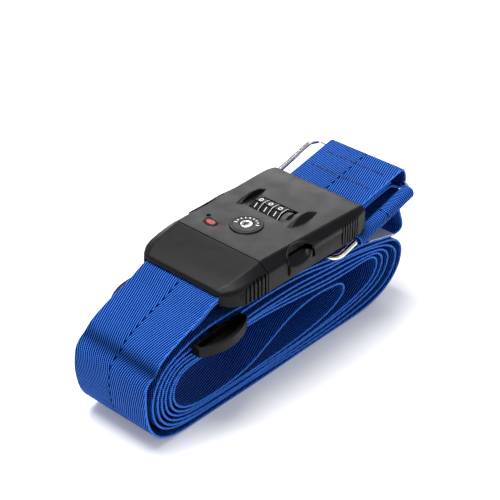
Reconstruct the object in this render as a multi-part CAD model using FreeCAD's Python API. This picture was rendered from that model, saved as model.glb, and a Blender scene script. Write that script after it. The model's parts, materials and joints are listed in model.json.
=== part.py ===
import FreeCAD, Part
import math
import os

# A luggage strap of 50 mm webbing, wound into a flat oval coil that lies on its side. A combination
# buckle rests on top of the coil, a slider sits in the winding, and a square wire ring joins the
# short strap at the buckle's rear to the long strap.
# Every point is first given in the buckle's own frame, in millimetres: x from the line where the two
# buckle halves meet, positive towards the rear, y from the middle of the webbing, z up from the floor.
# `save` moves each piece so that the origin is the middle of the whole object's footprint.
OBJECT_MIDDLE_X = 22.37
OBJECT_MIDDLE_Y = 0.18

# Driving sizes
WEB_WIDTH = 50.0
WEB_THICK = 1.2
BUCKLE_BOTTOM = 60.0
BUCKLE_TOP = 76.5
BUCKLE_HALF = 34.0
BUCKLE_REAR = 78.0
BUCKLE_FRONT = -27.0
TOP_HALF = 28.0
SHOULDER_Z = 72.3
HALVES_GAP = 0.3
WALL = 2.0
SEAM_Z = 69.5
SEAM_GAP = 0.1
WHEEL_X = 41.5
WHEEL_Z = 71.5
WHEEL_R = 7.5
AXLE_R = 1.3
SHAFT_PLAY = 0.05
KEY_X = 21.0
KEY_DISC_R = 9.0
KEY_CORE_R = 3.35
KEY_BORE_R = 3.4
RESET_AT = (14.7, 20.5)
BADGE_AT = (10.5, 15.0)
BUTTON_FRONT = 15.0
BUTTON_LENGTH = 17.0
RING_WIRE_R = 1.5
RING_NEAR = (54.5, 54.9)
RING_FAR = (117.2, 72.0)
RING_HALF = 33.6
RING_MIDDLE_Y = 2.4
RING_ROLL = math.radians(5.5)
RING_CORNER_R = 6.0
SLIDER_MIDDLE_X = -29.0
SLIDER_LENGTH = 34.0
SLIDER_HALF_THICK = 2.6
PIN_R = 1.5
PIN_HALF_LONG = 30.0
REAR_PIN = (71.5, 66.6)
FRONT_PIN = (-13.0, 65.2)

HALF_WEB = WEB_WIDTH / 2
RING_ANGLE = math.atan2(RING_FAR[1] - RING_NEAR[1], RING_FAR[0] - RING_NEAR[0])

V = FreeCAD.Vector
UP = V(0, 0, 1)
ALONG_Y = V(0, 1, 0)


# ---------------------------------------------------------------- general helpers

def save(name, shape):
    """Write one node, moved into the object's frame."""
    moved = shape.copy()
    moved.translate(V(-OBJECT_MIDDLE_X, -OBJECT_MIDDLE_Y, 0))
    if not moved.isValid():
        print("NOT VALID", name)
    box = moved.optimalBoundingBox(False)
    print(f"{name:22s} {len(moved.Solids)} solid  {moved.Volume / 1000:8.3f} cm3"
          f"  x {box.XMin:7.2f} {box.XMax:7.2f}  y {box.YMin:7.2f} {box.YMax:7.2f}"
          f"  z {box.ZMin:6.2f} {box.ZMax:6.2f}")
    moved.exportStep(f"parts/{name}.step")


def block(x0, x1, y0, y1, z0, z1):
    return Part.makeBox(x1 - x0, y1 - y0, z1 - z0, V(x0, y0, z0))


def post(x, y, z0, z1, radius):
    return Part.makeCylinder(radius, z1 - z0, V(x, y, z0), UP)


def rod(x, z, y0, y1, radius):
    return Part.makeCylinder(radius, y1 - y0, V(x, y0, z), ALONG_Y)


def joined(shapes):
    whole = shapes[0]
    for shape in shapes[1:]:
        whole = whole.fuse(shape)
    return whole.removeSplitter()


def less(shape, tools):
    return shape.cut(Part.makeCompound(tools))


def prism_xy(points, z0, z1):
    """An upright prism whose outline is a list of (x, y)."""
    wire = Part.makePolygon([V(x, y, z0) for x, y in points + points[:1]])
    return Part.Face(wire).extrude(V(0, 0, z1 - z0))


def loft_along_x(sections):
    """A solid through outlines (x, [(y, z), ...]) with the same number of points each."""
    wires = [Part.makePolygon([V(x, y, z) for y, z in outline + outline[:1]])
             for x, outline in sections]
    return Part.makeLoft(wires, True, True)


def both_sides(shape):
    """A piece and its mirror image in the middle plane."""
    return [shape, shape.mirror(V(0, 0, 0), ALONG_Y)]


# ---------------------------------------------------------------- webbing

ARC_SHARE = 0.45
STRAIGHT_TURN = math.radians(0.4)


def heading(start, end):
    return math.atan2(end[1] - start[1], end[0] - start[0])


def turn_at(before, corner, after):
    return (heading(corner, after) - heading(before, corner) + math.pi) % (2 * math.pi) - math.pi


def real_corners(points):
    """The points without those at which the route runs practically straight on."""
    kept = [points[0]]
    for corner, after in zip(points[1:], points[2:]):
        if abs(turn_at(kept[-1], corner, after)) > STRAIGHT_TURN:
            kept.append(corner)
    return kept + [points[-1]]


def rounded_route(points):
    """Straight runs joined by tangent arcs, as ("line", p, q) and ("arc", centre, radius, a0, a1)."""
    points = real_corners(points)
    spans = []
    last = points[0]
    for before, corner, after in zip(points, points[1:], points[2:]):
        run_in = math.dist(before, corner)
        run_out = math.dist(corner, after)
        way_in = heading(before, corner)
        turn = turn_at(before, corner, after)
        setback = ARC_SHARE * min(run_in, run_out)
        radius = setback / math.tan(abs(turn) / 2)
        start = (corner[0] - setback * math.cos(way_in), corner[1] - setback * math.sin(way_in))
        side = math.copysign(math.pi / 2, turn)
        centre = (start[0] + radius * math.cos(way_in + side),
                  start[1] + radius * math.sin(way_in + side))
        spans.append(("line", last, start))
        spans.append(("arc", centre, radius, way_in - side, way_in - side + turn))
        last = (centre[0] + radius * math.cos(way_in - side + turn),
                centre[1] + radius * math.sin(way_in - side + turn))
    spans.append(("line", last, points[-1]))
    return spans


def route_length(points):
    total = 0.0
    for span in rounded_route(points):
        if span[0] == "line":
            total += math.dist(span[1], span[2])
        else:
            total += span[2] * abs(span[4] - span[3])
    return total


def tightest_radius(points):
    return min([span[2] for span in rounded_route(points) if span[0] == "arc"])


def band_edges(points, offset, place):
    """The route's edges moved sideways, to the left of travel for a positive offset."""
    edges = []
    for span in rounded_route(points):
        if span[0] == "line":
            (x0, z0), (x1, z1) = span[1:]
            long = math.hypot(x1 - x0, z1 - z0)
            dx = -(z1 - z0) / long * offset
            dz = (x1 - x0) / long * offset
            edges.append(Part.LineSegment(place(x0 + dx, z0 + dz), place(x1 + dx, z1 + dz)).toShape())
        else:
            (cx, cz), radius, a0, a1 = span[1:]
            r = radius - math.copysign(1, a1 - a0) * offset
            ends = [place(cx + r * math.cos(a), cz + r * math.sin(a)) for a in (a0, (a0 + a1) / 2, a1)]
            edges.append(Part.Arc(*ends).toShape())
    return edges


def band(points, thick, place, sweep):
    """A strip of even thickness along a flat route, drawn by place(a, b) and swept straight."""
    left = band_edges(points, thick / 2, place)
    right = band_edges(points, -thick / 2, place)
    start = Part.LineSegment(left[0].firstVertex().Point, right[0].firstVertex().Point).toShape()
    end = Part.LineSegment(left[-1].lastVertex().Point, right[-1].lastVertex().Point).toShape()
    wire = Part.Wire(Part.__sortEdges__(left + right + [start, end]))
    return Part.Face(wire).extrude(sweep)


def webbing(points, thick=WEB_THICK, half=HALF_WEB):
    """Webbing that runs in the xz plane, centred on the middle of the object."""
    return band(points, thick, lambda x, z: V(x, -half, z), V(0, 2 * half, 0))


# ---------------------------------------------------------------- the coil's route

# The winding is a stack of ovals between an outer and an inner one. Each station gives a point of the
# outer oval and the matching point of the inner oval, and a lane from 0 (outer) to 1 (inner) lies
# between them.
FRONT_BEND = [((-53, 49.2), (-47, 37.0)), ((-66, 42.4), (-55, 32.6)), ((-72.6, 29), (-58, 25)),
              ((-70.6, 14), (-55.6, 17)), ((-60, 5.4), (-47.6, 12.4))]
BOTTOM_FRONT = [((-38, 3.2), (-34, 11.0)), ((0, 3.3), (0, 11.1))]
BOTTOM_REAR = [((45, 3.5), (45, 8.7)), ((75, 3.9), (72, 11.6))]
REAR_BEND = [((99, 6.8), (88, 15.4)), ((111.8, 13.4), (96.4, 20)), ((116.8, 24.6), (99.7, 27.4)),
             ((112.6, 32.4), (96.4, 32.8)), ((100, 37.6), (88.4, 34.2))]
TOP = [((78, 41.7), (72, 33.6)), ((58, 43.0), (56, 34.3)), ((30, 46.1), (30, 37.4)),
       ((0, 45.0), (0, 40.1)), ((-28, 41.4), (-28, 37.4))]
FIRST_LAYER = 2
LAST_LAYER = 7
TOP_LAYER = 4
REAR_LAYER = 5
REAR_LANES = {2: 0.0, 3: 0.38, 4: 0.69, 5: 1.0}
# The rear bend takes the layer below to the layer two further in above.
LAYERS_GAINED = 2

SLIDER_TOP_POINT = (2.0, 50.3)
FROM_RING = [(118.6, 49.0), (121.4, 41.3), (118.6, 38.5), (112.0, 38.6), (100.0, 41.3), (87.0, 44.8),
             (66.0, 47.0), (43.0, 50.9), (27.0, 52.6), (0.0, 53.0), (-20.0, 54.2), (-37.0, 53.4)]
# The middle of the winding, where the strap is folded back on itself.
INNER_FOLD = [(30, 10.2), (52, 12.6), (64.5, 16.6), (72.0, 22.6), (69.6, 28.9), (59.0, 31.2), (44, 32.2),
              (27, 29.0), (12, 21.6), (-2, 14.6), (-16, 11.9)]
OUTER_TURN = [(38, 49.0), (58, 45.2), (78, 43.5), (100, 39.5), (112.4, 36.4), (118.6, 31.8),
              (120.9, 24.6), (118.0, 15.2), (109.4, 7.4), (96.0, 2.4), (76.0, 0.6),
              (-44.0, 0.6), (-58.0, 1.2), (-68.6, 5.4), (-74.6, 14.0), (-76.6, 25.0), (-75.6, 35.0)]
FRONT_RISE = [(-75.1, 40.0), (-70.6, 45.6), (-61.0, 51.8), (-49.0, 56.9), (-37.4, 61.2), (-30.1, 65.4)]
MOUTH_UPPER = (-27.4, 66.0)
MOUTH_LOWER = (-27.4, 64.2)
FRONT_TAIL = [(-30.1, 63.7), (-38.0, 59.0), (-44.0, 56.8)]


def between(station, lane):
    outer, inner = station
    return (outer[0] + lane * (inner[0] - outer[0]), outer[1] + lane * (inner[1] - outer[1]))


def front_lane(layer):
    return (layer - FIRST_LAYER) / (LAST_LAYER - FIRST_LAYER)


def front_and_bottom(layer):
    """Down round the front bend and back along the bottom."""
    return [between(s, front_lane(layer)) for s in FRONT_BEND + BOTTOM_FRONT]


def rear_and_top(layer):
    """From the bottom layer round the rear bend, then forward along the top two layers further in."""
    bottom_lane = (layer - FIRST_LAYER) / (REAR_LAYER - FIRST_LAYER)
    above = layer + LAYERS_GAINED
    top_lane = (above - TOP_LAYER) / (LAST_LAYER - TOP_LAYER)
    return ([between(s, bottom_lane) for s in BOTTOM_REAR]
            + [between(s, REAR_LANES[layer]) for s in REAR_BEND]
            + [between(s, top_lane) for s in TOP])


def coil_route():
    """The long strap from the fold beside the ring to the front bend below the buckle."""
    route = list(FROM_RING)
    for layer in (2, 4):
        route += front_and_bottom(layer) + rear_and_top(layer)
    route += front_and_bottom(6)
    route += INNER_FOLD
    outward = []
    for layer in (3, 5):
        outward += front_and_bottom(layer) + rear_and_top(layer)
    outward += front_and_bottom(7)[:-1]
    route += outward[::-1]
    route += [SLIDER_TOP_POINT] + OUTER_TURN
    return route


# ---------------------------------------------------------------- straps round the ring

# (u, w) are distances along and square to a slope that rises to the rear. The ring also leans
# sideways, its right bar lower than its left one.
SHORT_STRAP_START = (78.0, 69.2)
SHORT_STRAP_ANGLE = math.radians(12.0)
ROUND_FAR_BAR = [(4.0, -3.0), (26.0, -3.0), (32.0, -5.0), (37.0, -10.7), (42.4, -10.7), (42.4, 0.05),
                 (36.0, 0.0)]
ROUND_REAR_PIN = [(74.5, 68.9), (69.1, 68.9), (69.1, 64.2), (72.6, 64.1)]
SHORT_STRAP_END = [(1.0, -1.5), (30.0, -1.5)]
LOOP_START_U = 17.5
LOOP_WIDTH = 44.8
LEG_START_Y = -25.0
TAIL_W = -5.9
LEG_W = -7.5
LAYER_STEP = 1.5
TAIL_END_Y = 8.0
FOLD_WIDTH = 1.6
LEAVING_U = (36.0, 54.0)
DOWN_TO_COIL = [(112.4, 60.6), (115.8, 56.7)]
# Round the right bar of the ring, as (y, w) from the middle of the bar before it leans.
ROUND_RIGHT_BAR = [(5.2, -3.2), (3.4, 0.9), (1.4, 3.0), (-3.2, 3.2), (-3.4, -2.6), (1.2, -3.6), (5.2, -4.8)]


def on_slope(start, angle, u, w):
    return (start[0] + u * math.cos(angle) - w * math.sin(angle),
            start[1] + u * math.sin(angle) + w * math.cos(angle))


def on_ring(u, w):
    return on_slope(RING_NEAR, RING_ANGLE, u, w)


def leaning(y, w):
    """A point (y, w) given square to the leaning ring, in the upright section."""
    reach = y - RING_MIDDLE_Y
    return (RING_MIDDLE_Y + reach * math.cos(RING_ROLL) - w * math.sin(RING_ROLL),
            reach * math.sin(RING_ROLL) + w * math.cos(RING_ROLL))


def short_strap():
    """The short strap: round the ring's far bar, into the buckle round its pin, and back out."""
    route = [on_slope(SHORT_STRAP_START, SHORT_STRAP_ANGLE, u, w) for u, w in ROUND_FAR_BAR]
    route += [SHORT_STRAP_START] + ROUND_REAR_PIN
    route += [on_slope(SHORT_STRAP_START, SHORT_STRAP_ANGLE, u, w) for u, w in SHORT_STRAP_END]
    print(f"short strap {route_length(route):.1f} mm")
    return webbing(route)


def across_ring(route):
    """Webbing that runs across the ring, in the direction of y, along a route of (y, w)."""
    def place(y, w):
        x, z = on_ring(LOOP_START_U, w)
        return V(x, y, z)
    sweep = V(LOOP_WIDTH * math.cos(RING_ANGLE), 0, LOOP_WIDTH * math.sin(RING_ANGLE))
    return band(route, WEB_THICK, place, sweep)


def ring_strap_loop():
    """The end of the long strap where it goes round the ring's right bar."""
    bar_y = RING_MIDDLE_Y - RING_HALF
    route = [leaning(bar_y + y, w) for y, w in ROUND_RIGHT_BAR]
    print(f"ring loop {route_length(route):.1f} mm")
    return across_ring(route)


def ring_strap_tail():
    """The sewn-down end behind the loop, under the short strap."""
    return across_ring([(LEG_START_Y, TAIL_W), (TAIL_END_Y, TAIL_W)])


def strap_ring_turn():
    """From the loop across to a fold on the slant, then rearwards and down to the coil."""
    leg = across_ring([(LEG_START_Y, LEG_W), (HALF_WEB, LEG_W)])
    leaving = [on_ring(u, LEG_W - LAYER_STEP) for u in (LOOP_START_U, *LEAVING_U)]
    leaving += DOWN_TO_COIL + [FROM_RING[0]]
    run = webbing(leaving)
    low_x = on_ring(LOOP_START_U, 0)[0]
    high_x = on_ring(LOOP_START_U + LOOP_WIDTH, 0)[0]
    beyond = 90.0
    ahead = prism_xy([(low_x, -HALF_WEB), (high_x, HALF_WEB), (high_x, HALF_WEB + beyond),
                      (low_x - beyond, HALF_WEB + beyond), (low_x - beyond, -HALF_WEB)], 0, beyond)
    behind = prism_xy([(low_x, -HALF_WEB), (high_x, HALF_WEB), (high_x + beyond, HALF_WEB),
                       (high_x + beyond, -HALF_WEB - 1), (low_x, -HALF_WEB - 1)], 0, beyond)
    both_layers = [on_ring(u, LEG_W - LAYER_STEP / 2) for u in (LOOP_START_U, LEAVING_U[-1])]
    fold = webbing(both_layers, LAYER_STEP + WEB_THICK)
    fold_line = prism_xy([(low_x, -HALF_WEB), (low_x + FOLD_WIDTH, -HALF_WEB),
                          (high_x + FOLD_WIDTH, HALF_WEB), (high_x, HALF_WEB)], 0, beyond)
    return joined([leg.cut(ahead), run.common(behind), fold.common(fold_line)])


def ring_wire():
    """A closed square of round wire with rounded corners, in the leaning plane of the ring."""
    long = math.dist(RING_NEAR, RING_FAR)

    def place(u, v):
        y, w = leaning(RING_MIDDLE_Y + v, 0)
        x, z = on_ring(u, w)
        return V(x, y, z)

    r = RING_CORNER_R
    bend = r * (1 - math.sqrt(0.5))
    half = RING_HALF
    corners = [((0, half - r), (bend, half - bend), (r, half)),
               ((long - r, half), (long - bend, half - bend), (long, half - r)),
               ((long, r - half), (long - bend, bend - half), (long - r, -half)),
               ((r, -half), (bend, bend - half), (0, r - half))]
    edges = []
    for corner, following in zip(corners, corners[1:] + corners[:1]):
        edges.append(Part.Arc(*[place(*point) for point in corner]).toShape())
        edges.append(Part.LineSegment(place(*corner[2]), place(*following[0])).toShape())
    path = Part.Wire(edges)
    start = place(0, half - r)
    section = Part.Wire(Part.makeCircle(RING_WIRE_R, start, place(0, half) - start))
    return path.makePipeShell([section], True, True)


# ---------------------------------------------------------------- the slider

PASSAGE = 0.9
SLIDER_WINDOW = (2.2, 12.8)
SLIDER_END_HALF = 31.0
SLIDER_MID_HALF = 37.0


def slider():
    """A three-bar slider: two end bars under the strap and a middle bar over it."""
    half_long = SLIDER_LENGTH / 2
    rise = SLIDER_MID_HALF - SLIDER_END_HALF
    arc_r = (half_long ** 2 + rise ** 2) / (2 * rise)
    thick = SLIDER_HALF_THICK
    blank = block(-half_long, half_long, -SLIDER_MID_HALF, SLIDER_MID_HALF, -thick, thick)
    left = post(0, SLIDER_MID_HALF - arc_r, -thick, thick, arc_r)
    right = post(0, arc_r - SLIDER_MID_HALF, -thick, thick, arc_r)
    middle = block(-half_long, half_long, -SLIDER_END_HALF, SLIDER_END_HALF, -thick, thick)
    plate = joined([blank.common(left), blank.common(right), middle])
    slot_half = HALF_WEB + 1
    inner, outer = SLIDER_WINDOW
    tools = [block(-half_long - 1, half_long + 1, -slot_half, slot_half, -PASSAGE, PASSAGE),
             block(-outer, -inner, -slot_half, slot_half, -thick - 1, thick + 1),
             block(inner, outer, -slot_half, slot_half, -thick - 1, thick + 1),
             block(-half_long - 1, -outer, -slot_half, slot_half, 0, thick + 1),
             block(outer, half_long + 1, -slot_half, slot_half, 0, thick + 1),
             block(-inner, inner, -slot_half, slot_half, -thick - 1, 0)]
    shape = less(plate, tools)
    front = between(FRONT_BEND[0], front_lane(3))
    slope = math.atan2(SLIDER_TOP_POINT[1] - front[1], SLIDER_TOP_POINT[0] - front[0])
    middle_z = front[1] + (SLIDER_MIDDLE_X - front[0]) * math.tan(slope)
    shape.rotate(V(0, 0, 0), ALONG_Y, -math.degrees(slope))
    shape.translate(V(SLIDER_MIDDLE_X, 0, middle_z))
    print(f"slider slope {math.degrees(slope):.3f} deg")
    return shape


# ---------------------------------------------------------------- buckle covers

EDGE = 1.2


def cover_outline(half, top_half, bottom, foot_z, top, inset):
    """Outline (y, z) of a buckle half: a box with its two upper edges chamfered."""
    half -= inset
    top_half -= inset * 0.6
    bottom += inset
    top -= inset
    foot_z -= inset * 0.6
    return [(-half + EDGE, bottom), (half - EDGE, bottom), (half, bottom + EDGE), (half, foot_z),
            (top_half, top), (-top_half, top), (-half, foot_z), (-half, bottom + EDGE)]


# Sections of the two halves: x, half width, half width of the flat top, bottom, shoulder height, top.
REAR_SECTIONS = [(HALVES_GAP / 2, BUCKLE_HALF, TOP_HALF, BUCKLE_BOTTOM, SHOULDER_Z, BUCKLE_TOP),
                 (60.0, BUCKLE_HALF, 30.5, BUCKLE_BOTTOM, 72.9, BUCKLE_TOP),
                 (74.0, 33.6, 31.0, 60.8, 74.0, 76.3),
                 (BUCKLE_REAR, 32.0, 30.0, 62.2, 73.4, 75.2)]
FRONT_SECTIONS = [(-HALVES_GAP / 2, BUCKLE_HALF, TOP_HALF, BUCKLE_BOTTOM, SHOULDER_Z, BUCKLE_TOP),
                  (-14.0, 33.8, 27.2, BUCKLE_BOTTOM, 70.8, 73.9),
                  (-22.5, 30.8, 25.4, 60.6, 69.6, 71.6),
                  (BUCKLE_FRONT, 25.6, 23.0, 61.8, 68.6, 69.8)]


def buckle_body(sections, inset=0.0):
    """The outside of a buckle half, or the space inside its walls."""
    outlines = []
    last = len(sections) - 1
    for number, (x, half, top_half, bottom, foot_z, top) in enumerate(sections):
        if inset and number in (0, last):
            toward = sections[1][0] if number == 0 else sections[last - 1][0]
            x += math.copysign(inset, toward - x)
        outlines.append((x, cover_outline(half, top_half, bottom, foot_z, top, inset)))
    return loft_along_x(outlines)


def everywhere(z0, z1):
    """A slab of all space between two heights."""
    return block(-60, 120, -60, 60, z0, z1)


HIGH = 90.0
BOSSES = [(7.5, 27.6), (52.0, 27.6)]
BOSS_R = 2.6
SCREW_R = 0.95
SCREW_HEAD_R = 1.9
SCREW_HEAD_THICK = 1.0
SCREW_TOP = 73.0
WALL_OVERLAP = 0.3
FLOOR_TOP = BUCKLE_BOTTOM + WALL - 0.1
RIB_REACH = 32.4
RIB_HALF = 3.0
RIB_GRIP = 3.0
RIB_ABOVE_PIN = 2.6
BADGE_PLAY = 0.15
BADGE_BOTTOM = 75.9
BADGE_HALF = (2.2, 3.8)
BUTTON_OPENING = (14.7, 32.4)
BUTTON_OPENING_Z = (63.2, 72.3)
# The arched space above a release button: middle x and z, radius.
BUTTON_WELL = (25.2, 66.4, 10.0)
WELL_FOOT = 66.0
WELL_BACK = (29.2, 30.6)
OUTSIDE = 40.0
WEB_SLOT_REAR = (65.2, 70.6)
SLOT_HALF = HALF_WEB + 0.6
WINDOW_HALF = (6.4, 11.75)
WINDOW_LEDGE = (7.6, 75.6)
UNDER_TOP = 73.0
COLLAR_HOLE_R = 6.0
RESET_HOLE_R = 1.3
# Grip grooves: first x, pitch, width, number, half width where they are cut, lowest and highest z.
REAR_GROOVES = (56.4, 2.0, 0.9, 7, 33.9, 61.6, 72.0)
FRONT_GROOVES = (-18.4, 2.6, 1.2, 7, 33.8, 61.4, 71.6)
GROOVE_DEPTH = 0.7
ARM_Y = (12.4, 19.6)
ARM_Z = (64.0, 67.0)
ARM_X = (-2.3, 27.0)
TONGUE_GAP = 0.35


def around_bosses(shapes):
    return [post(x, y, *shape) for x, y in BOSSES + [(x, -y) for x, y in BOSSES] for shape in shapes]


def side_grooves(first, pitch, width, count, half, z0, z1):
    cuts = []
    for n in range(count):
        x = first + n * pitch
        cuts.append(block(x, x + width, half - GROOVE_DEPTH, half + 3, z0, z1))
    return [g for cut in cuts for g in both_sides(cut)]


def rear_openings():
    """Everything that passes through the rear half's walls."""
    x0, x1 = BUTTON_OPENING
    cuts = both_sides(block(x0, x1, BUCKLE_HALF - 3, OUTSIDE, *BUTTON_OPENING_Z))
    well_x, well_z, well_r = BUTTON_WELL
    wells = both_sides(rod(well_x, well_z, WELL_BACK[1], OUTSIDE, well_r))
    cuts += [well.common(everywhere(WELL_FOOT, HIGH)) for well in wells]
    cuts += [block(BUCKLE_REAR - 8, BUCKLE_REAR + 2, -SLOT_HALF, SLOT_HALF, *WEB_SLOT_REAR)]
    cuts += both_sides(block(-1, 4, ARM_Y[0] - TONGUE_GAP, ARM_Y[1] + TONGUE_GAP,
                             ARM_Z[0] - TONGUE_GAP, ARM_Z[1] + TONGUE_GAP))
    long, wide = WINDOW_HALF
    ledge, ledge_top = WINDOW_LEDGE
    cuts += [block(WHEEL_X - long, WHEEL_X + long, -wide, wide, UNDER_TOP, HIGH),
             block(WHEEL_X - ledge, WHEEL_X + ledge, -wide, wide, UNDER_TOP, ledge_top),
             post(KEY_X, 0, UNDER_TOP, HIGH, COLLAR_HOLE_R),
             post(RESET_AT[0], RESET_AT[1], UNDER_TOP, HIGH, RESET_HOLE_R)]
    return cuts + side_grooves(*REAR_GROOVES)


def pin_ribs(x, z, floor_z, reach):
    """Two ribs that hold the ends of a strap pin."""
    ribs = both_sides(block(x - RIB_HALF, x + RIB_HALF, PIN_HALF_LONG - RIB_GRIP, reach, floor_z,
                            z + RIB_ABOVE_PIN))
    return [rib.cut(strap_pin(x, z)) for rib in ribs]


def strap_pin(x, z):
    return rod(x, z, -PIN_HALF_LONG, PIN_HALF_LONG, PIN_R)


def upper_cover():
    """The rear half above its seam, with screw bosses, walls behind the wells and the wheel guards."""
    seam = everywhere(SEAM_Z, HIGH)
    shell = less(buckle_body(REAR_SECTIONS), [buckle_body(REAR_SECTIONS, WALL)]).common(seam)
    inside = buckle_body(REAR_SECTIONS, WALL - WALL_OVERLAP).common(seam)
    well_x, _, well_r = BUTTON_WELL
    backs = both_sides(block(well_x - well_r - 1, well_x + well_r + 1, *WELL_BACK, UNDER_TOP - 0.3, 76.0))
    extras = [part.common(inside) for part in around_bosses([(SEAM_Z, 76.0, BOSS_R)]) + backs]
    whole = less(shell, rear_openings())
    whole = joined([whole] + extras + fins())
    cuts = around_bosses([(SEAM_Z - 1, SCREW_TOP, SCREW_R)])
    cuts += [block(*badge_box(BADGE_PLAY), BADGE_BOTTOM, HIGH)]
    return less(whole, cuts)


def lower_cover():
    """The rear half below its seam, with screw bosses and the ribs of the rear strap pin."""
    below = everywhere(0, SEAM_Z - SEAM_GAP)
    shell = less(buckle_body(REAR_SECTIONS), [buckle_body(REAR_SECTIONS, WALL)]).common(below)
    ribs = pin_ribs(*REAR_PIN, FLOOR_TOP, RIB_REACH)
    extras = [rib.common(buckle_body(REAR_SECTIONS)) for rib in ribs]
    extras += around_bosses([(FLOOR_TOP, SEAM_Z - SEAM_GAP, BOSS_R)])
    whole = less(shell, rear_openings())
    whole = joined([whole] + extras)
    below_floor = BUCKLE_BOTTOM - 1
    head_top = BUCKLE_BOTTOM + SCREW_HEAD_THICK
    cuts = around_bosses([(below_floor, HIGH, SCREW_R), (below_floor, head_top, SCREW_HEAD_R)])
    return less(whole, cuts)


FIN_Y = (16.4, 18.8)
FIN_X = (34.0, 53.4)
FIN_HEIGHT = 3.0


def fins():
    """Two half-moon guards beside the number wheels."""
    half_chord = (FIN_X[1] - FIN_X[0]) / 2
    radius = (half_chord ** 2 + FIN_HEIGHT ** 2) / (2 * FIN_HEIGHT)
    middle = (FIN_X[0] + FIN_X[1]) / 2
    fin = rod(middle, BUCKLE_TOP + FIN_HEIGHT - radius, FIN_Y[0], FIN_Y[1], radius)
    return both_sides(fin.common(everywhere(BUCKLE_TOP - 0.5, HIGH)))


def badge_box(gap):
    """Footprint x0, x1, y0, y1 of the lock's red marker."""
    x, y = BADGE_AT
    half_x, half_y = BADGE_HALF[0] + gap, BADGE_HALF[1] + gap
    return (x - half_x, x + half_x, y - half_y, y + half_y)


def cover_screws():
    """The four cover screws."""
    shafts = around_bosses([(BUCKLE_BOTTOM + 0.3, SCREW_TOP, SCREW_R)])
    heads = around_bosses([(BUCKLE_BOTTOM, BUCKLE_BOTTOM + SCREW_HEAD_THICK, SCREW_HEAD_R)])
    return Part.makeCompound([shaft.fuse(head).removeSplitter() for shaft, head in zip(shafts, heads)])


# ---------------------------------------------------------------- the lock's working parts

CHASSIS_FLOOR = (62.05, 63.3)
CHEEK_Y = (12.6, 14.8)
RAIL_Y = (20.3, 21.5)
RAIL_TOP = 68.0
CHASSIS_REAR = 57.0
CHEEK_HALF = 5.0
CHEEK_Z = (63.0, 74.2)
CHASSIS_PLATE_FRONT = 35.5
RAIL_FRONT = 10.0
PAD_HALF = 1.9
PAD_THICK = 0.6
WHEEL_PITCH = 6.6
FIRST_WHEEL_Y = 8.3


def wheel_middle(number):
    return FIRST_WHEEL_Y - WHEEL_PITCH * number


def chassis():
    """The base that carries the wheel axle and backs the button springs."""
    plate = block(CHASSIS_PLATE_FRONT, CHASSIS_REAR, -RAIL_Y[1], RAIL_Y[1], *CHASSIS_FLOOR)
    cheeks = both_sides(block(WHEEL_X - CHEEK_HALF, WHEEL_X + CHEEK_HALF, *CHEEK_Y, *CHEEK_Z))
    rails = both_sides(block(RAIL_FRONT, CHASSIS_REAR, *RAIL_Y, CHASSIS_FLOOR[0], RAIL_TOP))
    x, y = RESET_AT
    pad = [block(x - PAD_HALF, x + PAD_HALF, y - PAD_HALF, y + PAD_HALF, RAIL_TOP - PAD_THICK, RAIL_TOP)]
    whole = joined([plate] + cheeks + rails + pad)
    return whole.cut(wheel_axle())


def wheel_axle():
    return rod(WHEEL_X, WHEEL_Z, -CHEEK_Y[1], CHEEK_Y[1], AXLE_R)


SLEEVE_R = 3.0
WHEEL_HALF_WIDTH = 3.1
DIGITS = 10
DIGIT_GROOVE_R = 0.35
GATE_DEPTH = 0.6
HUB_R = 6.2
HUB_Y = (-11.4, -8.4)


def number_wheel(number):
    """A wheel with ten shallow grooves between its ten digit faces."""
    middle = wheel_middle(number)
    y0, y1 = middle - WHEEL_HALF_WIDTH, middle + WHEEL_HALF_WIDTH
    wheel = rod(WHEEL_X, WHEEL_Z, y0, y1, WHEEL_R).cut(rod(WHEEL_X, WHEEL_Z, y0, y1, SLEEVE_R))
    grooves = []
    for n in range(DIGITS):
        angle = 2 * math.pi * (n + 0.5) / DIGITS
        x = WHEEL_X + WHEEL_R * math.cos(angle)
        z = WHEEL_Z + WHEEL_R * math.sin(angle)
        grooves.append(rod(x, z, y0, y1, DIGIT_GROOVE_R))
    return less(wheel, grooves)


def wheel_sleeve(number):
    """The clutch sleeve inside a wheel, with the flat that the locking plate drops on."""
    middle = wheel_middle(number)
    y0, y1 = middle - WHEEL_HALF_WIDTH, middle + WHEEL_HALF_WIDTH
    sleeve = rod(WHEEL_X, WHEEL_Z, y0, y1, SLEEVE_R)
    front = WHEEL_X - SLEEVE_R
    gate = block(front - 1, front + GATE_DEPTH, y0 - 1, y1 + 1, WHEEL_Z - SLEEVE_R, WHEEL_Z + SLEEVE_R)
    return sleeve.cut(rod(WHEEL_X, WHEEL_Z, y0, y1, AXLE_R + SHAFT_PLAY)).cut(gate)


def wheel_hub():
    """The spacer beside the last wheel."""
    hub = rod(WHEEL_X, WHEEL_Z, *HUB_Y, HUB_R)
    return hub.cut(rod(WHEEL_X, WHEEL_Z, HUB_Y[0] - 1, HUB_Y[1] + 1, AXLE_R))


DETENT_LINE = [(56.2, 63.6), (54.4, 67.6), (50.6, 69.4), (49.7, 71.6), (50.8, 73.6)]
DETENT_THICK = 0.3
DETENT_Y = (-8.0, 11.4)


def detent_spring():
    """A leaf that presses on the backs of the wheels."""
    return band(DETENT_LINE, DETENT_THICK, lambda x, z: V(x, DETENT_Y[0], z),
                V(0, DETENT_Y[1] - DETENT_Y[0], 0))


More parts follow.
